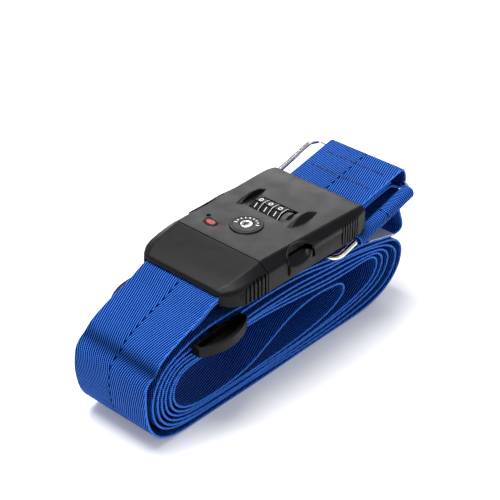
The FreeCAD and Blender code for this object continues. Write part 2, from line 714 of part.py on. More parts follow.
LOCKING_PLATE_X = (31.0, 32.6)
LOCKING_PLATE_TOP = 73.4
LOCKING_PLATE_STEP = 68.4
LOCKING_PLATE_FOOT = 64.5
LOCKING_PLATE_HALVES = (20.0, 11.4)
LOCKING_SPRING_LINE = [(32.8, -9.0), (33.3, -4.0), (33.3, 4.0), (32.8, 9.0)]
LOCKING_SPRING_THICK = 0.2
LOCKING_SPRING_Z = (63.5, 65.1)


def locking_plate():
    """The plate in front of the wheels, wide above the fork's arms and narrow between them."""
    above, below = LOCKING_PLATE_HALVES
    wide = block(*LOCKING_PLATE_X, -above, above, LOCKING_PLATE_STEP, LOCKING_PLATE_TOP)
    narrow = block(*LOCKING_PLATE_X, -below, below, LOCKING_PLATE_FOOT, LOCKING_PLATE_TOP)
    return joined([wide, narrow])


def locking_spring():
    """A bowed strip between the wheels and the locking plate."""
    foot, top = LOCKING_SPRING_Z
    return band(LOCKING_SPRING_LINE, LOCKING_SPRING_THICK, lambda x, y: V(x, y, foot), V(0, 0, top - foot))


KEY_DISC_TOP = BUCKLE_TOP + 1.0
KEY_COLLAR_R = 5.95
KEY_CHAMFER = 0.35
KEY_SLOT_BOTTOM = 69.5
KEY_SLOT_HALF = (1.9, 0.45)
KEY_SLOT_R = 0.95
KEY_CAM_Z = (62.6, 64.7)
KEY_PLUG_TOP = BUCKLE_TOP + 0.8
KEY_COLLAR_FOOT = 68.4
KEY_FINGER_HALF = 1.6
KEY_FINGER_REACH = 8.6
BADGE_TOP = BUCKLE_TOP + 0.25
BADGE_CHAMFER = 0.2


def key_disc():
    """The disc round the key, with a collar that goes down into the buckle."""
    ring = post(KEY_X, 0, BUCKLE_TOP, KEY_DISC_TOP, KEY_DISC_R)
    collar = post(KEY_X, 0, KEY_COLLAR_FOOT, BUCKLE_TOP + 0.5, KEY_COLLAR_R)
    whole = joined([ring, collar]).cut(post(KEY_X, 0, 0, HIGH, KEY_BORE_R))
    rim = [e for e in whole.Edges
           if abs(e.BoundBox.ZMin - KEY_DISC_TOP) < 0.01 and e.BoundBox.XLength > KEY_DISC_R]
    return whole.makeChamfer(KEY_CHAMFER, rim)


def key_plug():
    """The turning core, with a slot for a flat key that is wider in its middle."""
    plug = post(KEY_X, 0, KEY_CAM_Z[1], KEY_PLUG_TOP, KEY_CORE_R)
    long, wide = KEY_SLOT_HALF
    slot = block(KEY_X - long, KEY_X + long, -wide, wide, KEY_SLOT_BOTTOM, HIGH)
    centre = post(KEY_X, 0, KEY_SLOT_BOTTOM, HIGH, KEY_SLOT_R)
    return less(plug, [slot, centre])


def key_cam():
    """The finger under the key plug that turns with it."""
    finger = block(KEY_X - KEY_FINGER_HALF, KEY_X + KEY_FINGER_HALF, 0, KEY_FINGER_REACH, *KEY_CAM_Z)
    return joined([post(KEY_X, 0, *KEY_CAM_Z, KEY_CORE_R), finger])


def badge():
    """The plain red marker beside the key."""
    plate = block(*badge_box(0.0), BADGE_BOTTOM, BADGE_TOP)
    rim = [e for e in plate.Edges if e.BoundBox.ZMin > BUCKLE_TOP]
    return plate.makeChamfer(BADGE_CHAMFER, rim)


RESET_FOOT = 70.9
RESET_TOP = 75.9
RESET_FLANGE_THICK = 1.1
RESET_STEM_R = 1.2
RESET_FLANGE_R = 1.9
RESET_SPRING_R = (1.6, 1.15)
BUTTON_Y = (26.0, 35.5)
BUTTON_Z = (63.5, 72.0)
BUTTON_FLANGE = (1.4, 31.3, 63.8, 71.6)
BUTTON_CORNER_R = 1.2
# The thumb scoop: height of its middle, where it starts in y, and its radius.
SCOOP = (77.1, 31.8, 9.0)
BUTTON_SPRING_LINE = [(17.2, 21.9), (19.2, 22.2), (22.0, 24.6), (26.0, 24.6), (29.5, 22.2), (32.5, 21.9)]
BUTTON_SPRING_THICK = 0.4
BUTTON_SPRING_Z = (65.6, 69.0)


def reset_button():
    """The small button that frees the wheels for a new number, with a flange under the cover."""
    x, y = RESET_AT
    stem = post(x, y, RESET_FOOT, RESET_TOP, RESET_STEM_R)
    return joined([stem, post(x, y, RESET_FOOT, RESET_FOOT + RESET_FLANGE_THICK, RESET_FLANGE_R)])


def reset_spring():
    """The sleeve-shaped envelope of the coil spring below the reset button."""
    x, y = RESET_AT
    outer, inner = RESET_SPRING_R
    return post(x, y, RAIL_TOP, RESET_FOOT, outer).cut(post(x, y, RAIL_TOP - 1, RESET_FOOT + 1, inner))


def release_button():
    """One side button: a block with a scooped top and a flange behind the wall."""
    x0 = BUTTON_FRONT
    x1 = BUTTON_FRONT + BUTTON_LENGTH
    body = block(x0, x1, *BUTTON_Y, *BUTTON_Z)
    wider, flange_y, flange_bottom, flange_top = BUTTON_FLANGE
    flange = block(x0 - wider, x1 + wider, BUTTON_Y[0], flange_y, flange_bottom, flange_top)
    body = joined([body, flange])
    scoop_z, scoop_y, scoop_r = SCOOP
    scoop = rod((x0 + x1) / 2, scoop_z, scoop_y, OUTSIDE, scoop_r)
    uprights = [e for e in body.Edges if e.BoundBox.YMin > BUTTON_Y[1] - 0.1 and e.BoundBox.ZLength > 5]
    body = body.makeFillet(BUTTON_CORNER_R, uprights)
    return body.cut(scoop)


def button_spring():
    """A bowed leaf between a release button and the chassis rail."""
    foot, top = BUTTON_SPRING_Z
    return band(BUTTON_SPRING_LINE, BUTTON_SPRING_THICK, lambda x, y: V(x, y, foot), V(0, 0, top - foot))


# ---------------------------------------------------------------- the front half

FRONT_SEAM = 68.2
WEB_SLOT_FRONT = (62.9, 68.1)
TONGUE_FRONT = -8.0
TONGUE_HALF = 22.0
TONGUE_BASE_Z = (63.6, 67.6)
NOTCH_X = (20.0, 23.5)
NOTCH_DEPTH = 2.2
PAST_PIN = [(2.3, 2.25), (2.3, -2.25)]


def front_openings():
    """Everything that passes through the front half's walls."""
    cuts = [block(BUCKLE_FRONT - 4, -20.0, -SLOT_HALF, SLOT_HALF, *WEB_SLOT_FRONT)]
    cuts += both_sides(block(-4, 1, *ARM_Y, *ARM_Z))
    return cuts + side_grooves(*FRONT_GROOVES)


def front_upper_cap():
    """The front half above its seam."""
    shell = less(buckle_body(FRONT_SECTIONS), [buckle_body(FRONT_SECTIONS, WALL)])
    return less(shell.common(everywhere(FRONT_SEAM, HIGH)), front_openings())


def front_lower_cap():
    """The front half below its seam, with the ribs of the front strap pin."""
    shell = less(buckle_body(FRONT_SECTIONS), [buckle_body(FRONT_SECTIONS, WALL)])
    inside = buckle_body(FRONT_SECTIONS, WALL / 4)
    ribs = [rib.common(inside) for rib in pin_ribs(*FRONT_PIN, FLOOR_TOP, RIB_REACH)]
    whole = joined([shell] + ribs).common(everywhere(0, FRONT_SEAM - SEAM_GAP))
    return less(whole, front_openings())


def tongue():
    """The flat fork of the front half that reaches past both sides of the key."""
    base = block(TONGUE_FRONT, ARM_X[0], -TONGUE_HALF, TONGUE_HALF, *TONGUE_BASE_Z)
    arms = both_sides(block(*ARM_X, *ARM_Y, *ARM_Z))
    notches = both_sides(block(*NOTCH_X, ARM_Y[1] - NOTCH_DEPTH, ARM_Y[1] + 1, 0, HIGH))
    return less(joined([base] + arms), notches)


def front_strap_loop():
    """The front strap's sewn loop round the pin, out to the mouth of the front half."""
    x, z = FRONT_PIN
    past_pin = [(x + dx, z + dz) for dx, dz in PAST_PIN]
    return webbing([MOUTH_UPPER, (-22.0, 67.2)] + past_pin + [(-17.5, 63.2), (-22.0, 65.2), MOUTH_LOWER])


def strap_front_run():
    """From the front bend up to the mouth of the front half."""
    return webbing([OUTER_TURN[-1]] + FRONT_RISE + [MOUTH_UPPER])


def strap_front_tail():
    """The sewn-under end behind the front run."""
    return webbing([MOUTH_LOWER] + FRONT_TAIL)


def long_strap():
    """The wound length of webbing, from the fold beside the ring to the front bend."""
    route = coil_route()
    print(f"long strap {route_length(route):.1f} mm, tightest radius {tightest_radius(route):.2f}")
    return webbing(route)


LABEL_THICK = 0.5
LABEL_WIDTH = 24.0
LABEL_LINE = [(91.0, 44.9), (100.5, 42.4), (112.0, 39.8)]


def blank_label():
    """A plain sewn-in label that lies on the arm below the fold beside the ring."""
    return band(LABEL_LINE, LABEL_THICK, lambda x, z: V(x, -HALF_WEB - 0.4, z), V(0, LABEL_WIDTH, 0))


os.makedirs("parts", exist_ok=True)

save("long_strap", long_strap())
save("strap_front_run", strap_front_run())
save("strap_front_tail", strap_front_tail())
save("strap_ring_turn", strap_ring_turn())
save("ring_strap_loop", ring_strap_loop())
save("ring_strap_tail", ring_strap_tail())
save("short_strap", short_strap())
save("ring_wire", ring_wire())
save("strap_slider", slider())
save("blank_label", blank_label())
save("upper_cover", upper_cover())
save("lower_cover", lower_cover())
save("cover_screws", cover_screws())
save("rear_strap_pin", strap_pin(*REAR_PIN))
save("lock_chassis", chassis())
save("wheel_axle", wheel_axle())
for wheel_number in range(3):
    save(f"number_wheel_{wheel_number + 1}", number_wheel(wheel_number))
    save(f"wheel_sleeve_{wheel_number + 1}", wheel_sleeve(wheel_number))
save("wheel_hub", wheel_hub())
save("wheel_detent_spring", detent_spring())
save("locking_plate", locking_plate())
save("locking_plate_spring", locking_spring())
save("key_disc", key_disc())
save("key_plug", key_plug())
save("key_cam", key_cam())
save("lock_badge", badge())
save("reset_button", reset_button())
save("reset_spring", reset_spring())
SIDES = ("left", "right")
for side, button, spring in zip(SIDES, both_sides(release_button()), both_sides(button_spring())):
    save(f"release_button_{side}", button)
    save(f"button_spring_{side}", spring)
save("front_upper_cap", front_upper_cap())
save("front_lower_cap", front_lower_cap())
save("front_tongue", tongue())
save("front_strap_pin", strap_pin(*FRONT_PIN))
save("front_strap_loop", front_strap_loop())
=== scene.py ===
import json
import math

import bmesh
import bpy
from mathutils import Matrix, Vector


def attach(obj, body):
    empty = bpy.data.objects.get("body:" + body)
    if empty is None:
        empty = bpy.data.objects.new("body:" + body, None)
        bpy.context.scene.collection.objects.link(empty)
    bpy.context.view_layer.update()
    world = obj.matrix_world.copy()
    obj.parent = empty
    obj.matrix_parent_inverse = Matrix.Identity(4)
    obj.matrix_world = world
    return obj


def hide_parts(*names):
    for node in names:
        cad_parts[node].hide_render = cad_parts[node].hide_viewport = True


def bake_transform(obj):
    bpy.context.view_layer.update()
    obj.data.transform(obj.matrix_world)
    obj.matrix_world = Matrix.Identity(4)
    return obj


# A coiled luggage strap with a combination buckle. Route points and sizes are in the buckle's own
# frame, in millimetres, as the part's source gives them: x from the line where the buckle halves
# meet, y from the middle of the webbing, z from the floor. `at` turns them into the CAD's frame.

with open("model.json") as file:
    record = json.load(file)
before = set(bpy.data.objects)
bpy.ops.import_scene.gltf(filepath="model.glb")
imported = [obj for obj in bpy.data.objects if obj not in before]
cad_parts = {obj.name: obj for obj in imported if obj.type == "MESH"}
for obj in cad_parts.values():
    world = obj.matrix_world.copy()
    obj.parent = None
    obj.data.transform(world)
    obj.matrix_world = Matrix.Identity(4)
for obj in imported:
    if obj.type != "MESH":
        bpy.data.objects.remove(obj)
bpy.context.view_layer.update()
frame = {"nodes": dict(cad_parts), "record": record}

MM = 0.001
OBJECT_MIDDLE = (22.37, 0.18)


def at(x, y, z):
    return Vector(((x - OBJECT_MIDDLE[0]) * MM, (y - OBJECT_MIDDLE[1]) * MM, z * MM))


def circle_angles(count):
    return [2 * math.pi * k / count for k in range(count)]


def oval(centre, half_x, half_y, count):
    """Points of an oval, as (x, y)."""
    x, y = centre
    return [(x + half_x * math.cos(a), y + half_y * math.sin(a)) for a in circle_angles(count)]


# ---------------- camera

CAMERA_AZIMUTH = math.radians(-47.5)
CAMERA_ELEVATION = math.radians(32.45)
CAMERA_TARGET = Vector((0.02656, 0.02297, 0.03825))
CAMERA_DISTANCE = 0.8252
CAMERA_LENS = 110.1

back = Vector((math.sin(CAMERA_AZIMUTH) * math.cos(CAMERA_ELEVATION),
               -math.cos(CAMERA_AZIMUTH) * math.cos(CAMERA_ELEVATION),
               math.sin(CAMERA_ELEVATION)))
camera = bpy.data.objects.new("camera", bpy.data.cameras.new("camera"))
camera.data.lens = CAMERA_LENS
camera.data.sensor_width = 36
camera.location = CAMERA_TARGET + back * CAMERA_DISTANCE
camera.rotation_mode = "QUATERNION"
camera.rotation_quaternion = (-back).to_track_quat("-Z", "Y")
bpy.context.scene.collection.objects.link(camera)
bpy.context.scene.camera = camera


# ---------------- material nodes

class Nodes:
    """A small writer of node materials."""

    def __init__(self, name):
        self.material = bpy.data.materials.new(name)
        self.material.use_nodes = True
        self.tree = self.material.node_tree
        self.shader = self.tree.nodes["Principled BSDF"]

    def add(self, kind, **values):
        node = self.tree.nodes.new(kind)
        for name, value in values.items():
            setattr(node, name, value)
        return node

    def feed(self, socket, value):
        if isinstance(value, bpy.types.NodeSocket):
            self.tree.links.new(value, socket)
        else:
            socket.default_value = value

    def math(self, operation, *values):
        node = self.add("ShaderNodeMath", operation=operation)
        for socket, value in zip(node.inputs, values):
            self.feed(socket, value)
        return node.outputs[0]

    def ramp(self, value, *stops):
        node = self.add("ShaderNodeValToRGB")
        elements = node.color_ramp.elements
        while len(elements) < len(stops):
            elements.new(0.5)
        for element, (position, colour) in zip(elements, stops):
            element.position = position
            element.color = (*colour, 1)
        self.feed(node.inputs[0], value)
        return node.outputs[0]

    def map(self, value, low, high, to_low, to_high):
        node = self.add("ShaderNodeMapRange")
        for socket, number in zip(node.inputs, (value, low, high, to_low, to_high)):
            self.feed(socket, number)
        return node.outputs[0]

    def ripple(self, value, rate):
        """A row of humps between 0 and 1."""
        return self.math("ABSOLUTE", self.math("SINE", self.math("MULTIPLY", value, rate)))

    def noise(self, scale, detail):
        node = self.add("ShaderNodeTexNoise")
        place = self.add("ShaderNodeTexCoord").outputs["Object"]
        for name, value in (("Scale", scale), ("Detail", detail), ("Vector", place)):
            self.feed(node.inputs[name], value)
        return node.outputs["Fac"]

    def mix(self, share, first, second, blend="MIX"):
        node = self.add("ShaderNodeMix", data_type="RGBA", blend_type=blend)
        for index, value in ((0, share), (6, first), (7, second)):
            self.feed(node.inputs[index], (*value, 1) if isinstance(value, tuple) else value)
        return node.outputs[2]

    def mottled(self, colour, scale, darkest):
        """The colour with large soft patches in it."""
        patches = self.map(self.noise(scale, 3.0), 0.3, 0.7, darkest, 1.1)
        grey = self.ramp(patches, (0.0, (0.0, 0.0, 0.0)), (1.0, (1.0, 1.0, 1.0)))
        return self.mix(1.0, colour, grey, "MULTIPLY")

    def bump(self, height, strength, distance, under=None):
        node = self.add("ShaderNodeBump")
        for name, value in (("Strength", strength), ("Distance", distance), ("Height", height)):
            self.feed(node.inputs[name], value)
        if under is not None:
            self.feed(node.inputs["Normal"], under)
        return node.outputs[0]

    def set(self, **values):
        for name, value in values.items():
            self.feed(self.shader.inputs[name.replace("_", " ")], value)
        return self.material


def rgb(red, green, blue):
    """Linear colour from 0-255 screen values."""
    return tuple(((c / 255 + 0.055) / 1.055) ** 2.4 if c > 10 else c / 255 / 12.92
                 for c in (red, green, blue))


# ---------------- webbing material

# The map "strap" holds the millimetres along the route and across it from the middle.
STRAP_UV = "strap"
WEB_HALF = 25.0
# the ridges of the weave: how far apart, and how much they slant; the thread dashes on each ridge
RIDGE_PITCH = 1.3
RIDGE_SLANT = -0.27
DASH_PITCH = 0.85
DASH_SHIFT = 0.37
# the broken dark line down the middle
MIDDLE_HALF = 0.35
MIDDLE_DASH = 2.2
# the woven edge: where it begins and is full, and its tick marks
EDGE_FROM, EDGE_FULL = 24.2, 24.7
EDGE_TICK = 1.1
# the pressed fold below the buckle, dented into the webbing and darkened there with painted shade: how it
# slants across the webbing, and its half width
FOLD_SLANT = 0.03
FOLD_HALF = 4.0


def weave_height(n, along, across):
    """Height of the weave from 0 to 1: two panels of slanted ridges that meet at the middle line."""
    wander = n.map(n.noise(60.0, 2.0), 0.0, 1.0, -0.25, 0.25)
    ridge_number = n.math("DIVIDE", n.math("ADD", n.math("ADD", across, wander),
                                           n.math("MULTIPLY", along, RIDGE_SLANT)), RIDGE_PITCH)
    shift = n.math("MULTIPLY", n.math("FLOOR", ridge_number), DASH_SHIFT)
    dash = n.ripple(n.math("ADD", n.math("DIVIDE", along, DASH_PITCH), shift), math.pi)
    body = n.math("MULTIPLY", n.ripple(ridge_number, math.pi), n.map(dash, 0.0, 0.8, 0.78, 1.0))
    beat = n.math("SINE", n.math("MULTIPLY", along, 2 * math.pi / MIDDLE_DASH))
    gap = n.math("GREATER_THAN", beat, -0.2)
    near_middle = n.math("MAXIMUM", n.math("SUBTRACT", 1.0, n.math("DIVIDE", across, MIDDLE_HALF)), 0.0)
    middle = n.math("SUBTRACT", 1.0, n.math("MULTIPLY", near_middle, n.map(gap, 0.0, 1.0, 0.3, 0.8)))
    edge = n.map(across, EDGE_FROM, EDGE_FULL, 0.0, 1.0)
    tick = n.map(n.ripple(along, math.pi / EDGE_TICK), 0.0, 1.0, 0.72, 1.0)
    inside = n.math("MULTIPLY", n.math("MULTIPLY", body, middle), n.math("SUBTRACT", 1.0, edge))
    return n.math("ADD", inside, n.math("MULTIPLY", tick, edge))


def fold_share(n, along, sideways, fold_at):
    """How much painted shade darkens the webbing in the pressed fold, fading away from it on both sides."""
    away = n.math("DIVIDE", n.math("SUBTRACT", n.math("SUBTRACT", along, fold_at),
                                   n.math("MULTIPLY", sideways, FOLD_SLANT)), FOLD_HALF)
    band = n.math("EXPONENT", n.math("MULTIPLY", n.math("MULTIPLY", away, away), -1.0))
    return n.math("MULTIPLY", band, n.map(sideways, -WEB_HALF, WEB_HALF, 0.75, 0.6))


def webbing_material(name, fold_at):
    """Blue nylon herringbone, with painted highlights on the weave's ridges, painted shade in its low
    places, and painted shade in the pressed fold at the length fold_at.
    """
    n = Nodes(name)
    split = n.add("ShaderNodeSeparateXYZ")
    n.feed(split.inputs[0], n.add("ShaderNodeUVMap", uv_map=STRAP_UV).outputs[0])
    along, sideways = split.outputs[:2]
    height = weave_height(n, along, n.math("ABSOLUTE", sideways))
    # the weave's blue by its height: painted shade in the low places between and along the ridges, painted
    # highlights on the ridge tops
    thread = n.ramp(height, (0.25, rgb(0, 3, 18)), (0.55, rgb(3, 22, 84)), (0.82, rgb(24, 78, 186)),
                    (1.0, rgb(82, 146, 244)))
    # the weave's colour with painted shade, rgb(0, 5, 36), mixed in along the pressed fold
    shade = n.mix(fold_share(n, along, sideways, fold_at), n.mottled(thread, 22.0, 0.86), rgb(0, 5, 36))
    fibres = n.bump(n.noise(2600.0, 1.0), 0.10, 0.0002)
    return n.set(Base_Color=shade, Roughness=n.map(height, 0.0, 1.0, 0.75, 0.55),
                 Normal=n.bump(height, 0.9, 0.00045, fibres), Specular_IOR_Level=0.03,
                 Specular_Tint=(0.25, 0.5, 1.0, 1.0))


# ---------------- webbing shapes

WEB_THICK = 1.2
SAMPLE_STEP = 1.6
# places across the webbing, each with its share of the thickness: thin at the edge and the middle
HALF_COLUMNS = [(-WEB_HALF, 0.30), (-24.86, 0.72), (-24.5, 1.0), (-23.9, 1.04), (-23.2, 0.93),
                (-21.0, 1.0), (-16.5, 1.0), (-12.0, 1.0), (-8.0, 1.0), (-4.0, 1.0), (-1.2, 1.0),
                (-0.5, 0.9), (0.0, 0.82)]
COLUMNS = HALF_COLUMNS + [(-v, share) for v, share in HALF_COLUMNS[-2::-1]]


def take_mesh(curve):
    """Vertices and faces of a curve's mesh; the curve itself is removed."""
    holder = bpy.data.objects.new("curve", curve)
    mesh = bpy.data.meshes.new_from_object(holder)
    verts = [v.co.copy() for v in mesh.vertices]
    faces = [tuple(polygon.vertices) for polygon in mesh.polygons]
    bpy.data.objects.remove(holder)
    bpy.data.curves.remove(curve)
    bpy.data.meshes.remove(mesh)
    return verts, faces


def spline(points, step=SAMPLE_STEP):
    """Points evenly spaced along the smooth line that has these (a, b) control points.

    Each comes with its length along the line.
    """
    curve = bpy.data.curves.new("route", "CURVE")
    curve.dimensions = "3D"
    curve.resolution_u = 40
    line = curve.splines.new("NURBS")
    line.points.add(len(points) - 1)
    for point, (a, b) in zip(line.points, points):
        point.co = (a, b, 0, 1)
    line.order_u = 3
    line.use_endpoint_u = True
    fine = [v.xy for v in take_mesh(curve)[0]]
    lengths = [0.0]
    for p, q in zip(fine, fine[1:]):
        lengths.append(lengths[-1] + (q - p).length)
    count = max(2, round(lengths[-1] / step))
    out, k = [], 0
    for n in range(count + 1):
        s = lengths[-1] * n / count
        while k < len(fine) - 2 and lengths[k + 1] < s:
            k += 1
        share = (s - lengths[k]) / max(1e-9, lengths[k + 1] - lengths[k])
        out.append((fine[k].lerp(fine[k + 1], share), s))
    return out


def shade_smooth(mesh, sharp_angle):
    """Smooth shading, except at edges sharper than the angle in degrees."""
    mesh.polygons.foreach_set("use_smooth", [True] * len(mesh.polygons))
    mesh.set_sharp_from_angle(angle=math.radians(sharp_angle))


def face_outward(obj, weld=0.0):
    """Turn every face outward, after joining vertices that are closer than `weld` metres."""
    solid = bmesh.new()
    solid.from_mesh(obj.data)
    if weld:
        bmesh.ops.remove_doubles(solid, verts=solid.verts, dist=weld)
    bmesh.ops.recalc_face_normals(solid, faces=solid.faces)
    solid.to_mesh(obj.data)
    solid.free()


def solid_object(name, verts, faces, uvs=None):
    """A new closed piece from vertices in metres."""
    mesh = bpy.data.meshes.new(name)
    mesh.from_pydata([tuple(v) for v in verts], [], faces)
    if uvs is not None:
        layer = mesh.uv_layers.new(name=STRAP_UV)
        for loop in mesh.loops:
            layer.data[loop.index].uv = uvs[loop.vertex_index]
    mesh.validate()
    obj = bpy.data.objects.new(name, mesh)
    bpy.context.scene.collection.objects.link(obj)
    shade_smooth(mesh, 35.0)
    face_outward(obj)
    return obj


def cloth(name, rows, us, columns, material, thick=WEB_THICK):
    """A closed strip of cloth whose middle surface is the grid `rows` of points in millimetres.

    us holds the length along the route for each row, or for each point of each row.
    """
    count_r, count_c = len(rows), len(columns)
    above, below, uv_above = [], [], []
    for i, row in enumerate(rows):
        for j, (v, share) in enumerate(columns):
            before, after = rows[max(i - 1, 0)][j], rows[min(i + 1, count_r - 1)][j]
            left, right = row[max(j - 1, 0)], row[min(j + 1, count_c - 1)]
            normal = (after - before).cross(right - left).normalized()
            above.append(row[j] + normal * thick / 2 * share)
            below.append(row[j] - normal * thick / 2 * share)
            u = us[i][j] if isinstance(us[i], list) else us[i]
            uv_above.append((u, v))
    verts = [at(*p) for p in above + below]
    size = count_r * count_c
    faces = []
    for i in range(count_r - 1):
        for j in range(count_c - 1):
            a = i * count_c + j
            b, c, d = a + 1, a + count_c + 1, a + count_c
            faces.append((a, d, c, b))
            faces.append((a + size, b + size, c + size, d + size))
        for j in (0, count_c - 1):
            a, d = i * count_c + j, (i + 1) * count_c + j
            side = (a, a + size, d + size, d)
            faces.append(side if j == 0 else side[::-1])
    for i in (0, count_r - 1):
        for j in range(count_c - 1):
            a = i * count_c + j
            side = (a, a + 1, a + 1 + size, a + size)
            faces.append(side if i == 0 else side[::-1])
    obj = solid_object(name, verts, faces, uv_above + uv_above)
    obj.data.materials.append(material)
    return obj


def wave(s, *terms):
    """A slow smooth wander: terms are (height, wavelength, phase)."""
    return sum(height * math.sin(2 * math.pi * s / length + phase) for height, length, phase in terms)


DRIFT = ((0.35, 262.0, 0.4), (0.25, 167.0, 1.9), (0.15, 91.0, 3.1))


def webbing(name, samples, drift=1.0, dents=()):
    """Webbing along evenly spaced samples of a route in the xz plane, with a slow sideways drift.

    Each dent is (length along the route, depth, half width, slant, fade): a crease across the webbing,
    which fades towards its left edge.
    """
    rows = []
    last = len(samples) - 1
    for k, (point, s) in enumerate(samples):
        y = drift * wave(s, *DRIFT)
        way = (samples[min(k + 1, last)][0] - samples[max(k - 1, 0)][0]).normalized()
        row = []
        for v, _ in COLUMNS:
            push = sum(depth * math.exp(-((s - place - slant * v) / wide) ** 2)
                       * (1 - fade * (v + WEB_HALF) / (2 * WEB_HALF))
                       for place, depth, wide, slant, fade in dents)
            row.append(Vector((point.x + way.y * push, y + v, point.y - way.x * push)))
        rows.append(row)
    return cloth(name, rows, [s for _, s in samples], COLUMNS, WEBBING)


# ---------------- the coil's route

# Stations round the coil, each as its outermost and its innermost point (x, z); the layers of the
# winding run on lanes between the two. The lists after them are the stretches outside the lanes.
FRONT_BEND = [((-53, 49.2), (-47, 37.0)), ((-66, 42.4), (-55, 32.6)), ((-72.6, 29), (-58, 25)),
              ((-70.6, 14), (-55.6, 17)), ((-60, 5.4), (-47.6, 12.4))]
BOTTOM_FRONT = [((-38, 3.2), (-34, 11.0)), ((0, 3.3), (0, 11.1))]
BOTTOM_REAR = [((45, 3.5), (45, 8.7)), ((75, 3.9), (72, 11.6))]
REAR_BEND = [((99, 6.8), (88, 15.4)), ((111.8, 13.4), (96.4, 20)), ((116.8, 24.6), (99.7, 27.4)),
             ((112.6, 32.4), (96.4, 32.8)), ((100, 37.6), (88.4, 34.2))]
TOP = [((78, 41.7), (72, 33.6)), ((58, 43.0), (56, 34.3)), ((30, 46.1), (30, 37.4)),
       ((0, 45.0), (0, 40.1)), ((-28, 41.4), (-28, 37.4))]
# Layers are numbered inwards: at the front from FIRST_LAYER to LAST_LAYER, and round the rear as far
# as REAR_LAYER. A lap comes back over the top LAYERS_GAINED layers further in, from TOP_LAYER on.
FIRST_LAYER = 2
LAST_LAYER = 7
TOP_LAYER = 4
REAR_LAYER = 5
REAR_LANES = {2: 0.0, 3: 0.38, 4: 0.69, 5: 1.0}
LAYERS_GAINED = 2
SLIDER_TOP_POINT = (2.0, 50.3)
FROM_RING = [(118.6, 49.0), (121.4, 41.3), (118.6, 38.5), (112.0, 38.6), (100.0, 41.3), (87.0, 44.8),
             (66.0, 47.0), (43.0, 50.9), (27.0, 52.6), (0.0, 53.0), (-20.0, 54.2), (-37.0, 53.4)]
INNER_FOLD = [(30, 10.2), (52, 12.6), (64.5, 16.6), (72.0, 22.6), (69.6, 28.9), (59.0, 31.2), (44, 32.2),
              (27, 29.0), (12, 21.6), (-2, 14.6), (-16, 11.9)]
OUTER_TURN = [(38, 49.0), (58, 45.2), (78, 43.5), (100, 39.5), (112.4, 36.4), (118.6, 31.8),
              (120.9, 24.6), (118.0, 15.2), (109.4, 7.4), (96.0, 2.4), (76.0, 0.6),
              (-44.0, 0.6), (-58.0, 1.2), (-68.6, 5.4), (-74.6, 14.0), (-76.6, 25.0), (-75.6, 35.0)]
FRONT_RISE = [(-75.1, 40.0), (-70.6, 45.6), (-61.0, 51.8), (-49.0, 56.9), (-37.4, 61.2)]
MOUTH_UPPER = (-27.4, 66.0)
MOUTH_LOWER = (-27.4, 64.2)
ROUND_PIN = [(-22.0, 67.2), (-10.7, 67.45), (-10.7, 62.95), (-17.5, 63.2), (-22.0, 65.2)]
FRONT_TAIL = [(-30.1, 63.7), (-38.0, 59.0), (-44.0, 56.8)]


def between(station, lane):
    outer, inner = station
    return (outer[0] + lane * (inner[0] - outer[0]), outer[1] + lane * (inner[1] - outer[1]))


def front_and_bottom(layer):
    lane = (layer - FIRST_LAYER) / (LAST_LAYER - FIRST_LAYER)
    return [between(s, lane) for s in FRONT_BEND + BOTTOM_FRONT]


def rear_and_top(layer):
    bottom_lane = (layer - FIRST_LAYER) / (REAR_LAYER - FIRST_LAYER)
    top_lane = (layer + LAYERS_GAINED - TOP_LAYER) / (LAST_LAYER - TOP_LAYER)
    return ([between(s, bottom_lane) for s in BOTTOM_REAR]
            + [between(s, REAR_LANES[layer]) for s in REAR_BEND]
            + [between(s, top_lane) for s in TOP])


def coil_route():
    route = list(FROM_RING)
    for layer in (2, 4):
        route += front_and_bottom(layer) + rear_and_top(layer)
    route += front_and_bottom(6)
    route += INNER_FOLD
    outward = []
    for layer in (3, 5):
        outward += front_and_bottom(layer) + rear_and_top(layer)
    outward += front_and_bottom(7)[:-1]
    route += outward[::-1]
    route += [SLIDER_TOP_POINT] + OUTER_TURN
    return route


def nearest(samples, point):
    target = Vector(point)
    return min(range(len(samples)), key=lambda k: (samples[k][0] - target).length)


# The ring leans on the coil: its plane runs from RING_NEAR to RING_FAR in xz and is rolled a little
# about its long axis. On it, u runs rearwards and w upwards; the webbing goes round its right bar.
RING_NEAR = (54.5, 54.9)
RING_FAR = (117.2, 72.0)
RING_HALF = 33.6
RING_MIDDLE_Y = 2.4
RING_ROLL = math.radians(5.5)
RING_ANGLE = math.atan2(RING_FAR[1] - RING_NEAR[1], RING_FAR[0] - RING_NEAR[0])
# where the webbing starts along the bar and how wide it lies there, then the heights of its sewn tail
# and of the leg under it, and the step down to the next layer
LOOP_START_U = 17.5
LOOP_WIDTH = 44.8
TAIL_W = -5.9
LEG_W = -7.5
LAYER_STEP = 1.5
TAIL_END_Y = 8.0


def on_slope(start, angle, u, w):
    return (start[0] + u * math.cos(angle) - w * math.sin(angle),
            start[1] + u * math.sin(angle) + w * math.cos(angle))


def on_ring(u, w):
    return on_slope(RING_NEAR, RING_ANGLE, u, w)


def leaning(y, w):
    reach = y - RING_MIDDLE_Y
    return (RING_MIDDLE_Y + reach * math.cos(RING_ROLL) - w * math.sin(RING_ROLL),
            reach * math.sin(RING_ROLL) + w * math.cos(RING_ROLL))


# The strap is one line from the ring to its sewn end in the buckle; it is cut where its nodes change.
LEAVING_RING = [on_ring(u, LEG_W - LAYER_STEP) for u in (LOOP_START_U, 36.0, 54.0)]
LEAVING_RING += [(112.4, 60.6), (115.8, 56.7)]

whole = spline(LEAVING_RING + coil_route() + FRONT_RISE + [(-30.1, 65.4), MOUTH_UPPER]
               + ROUND_PIN + [MOUTH_LOWER] + FRONT_TAIL)
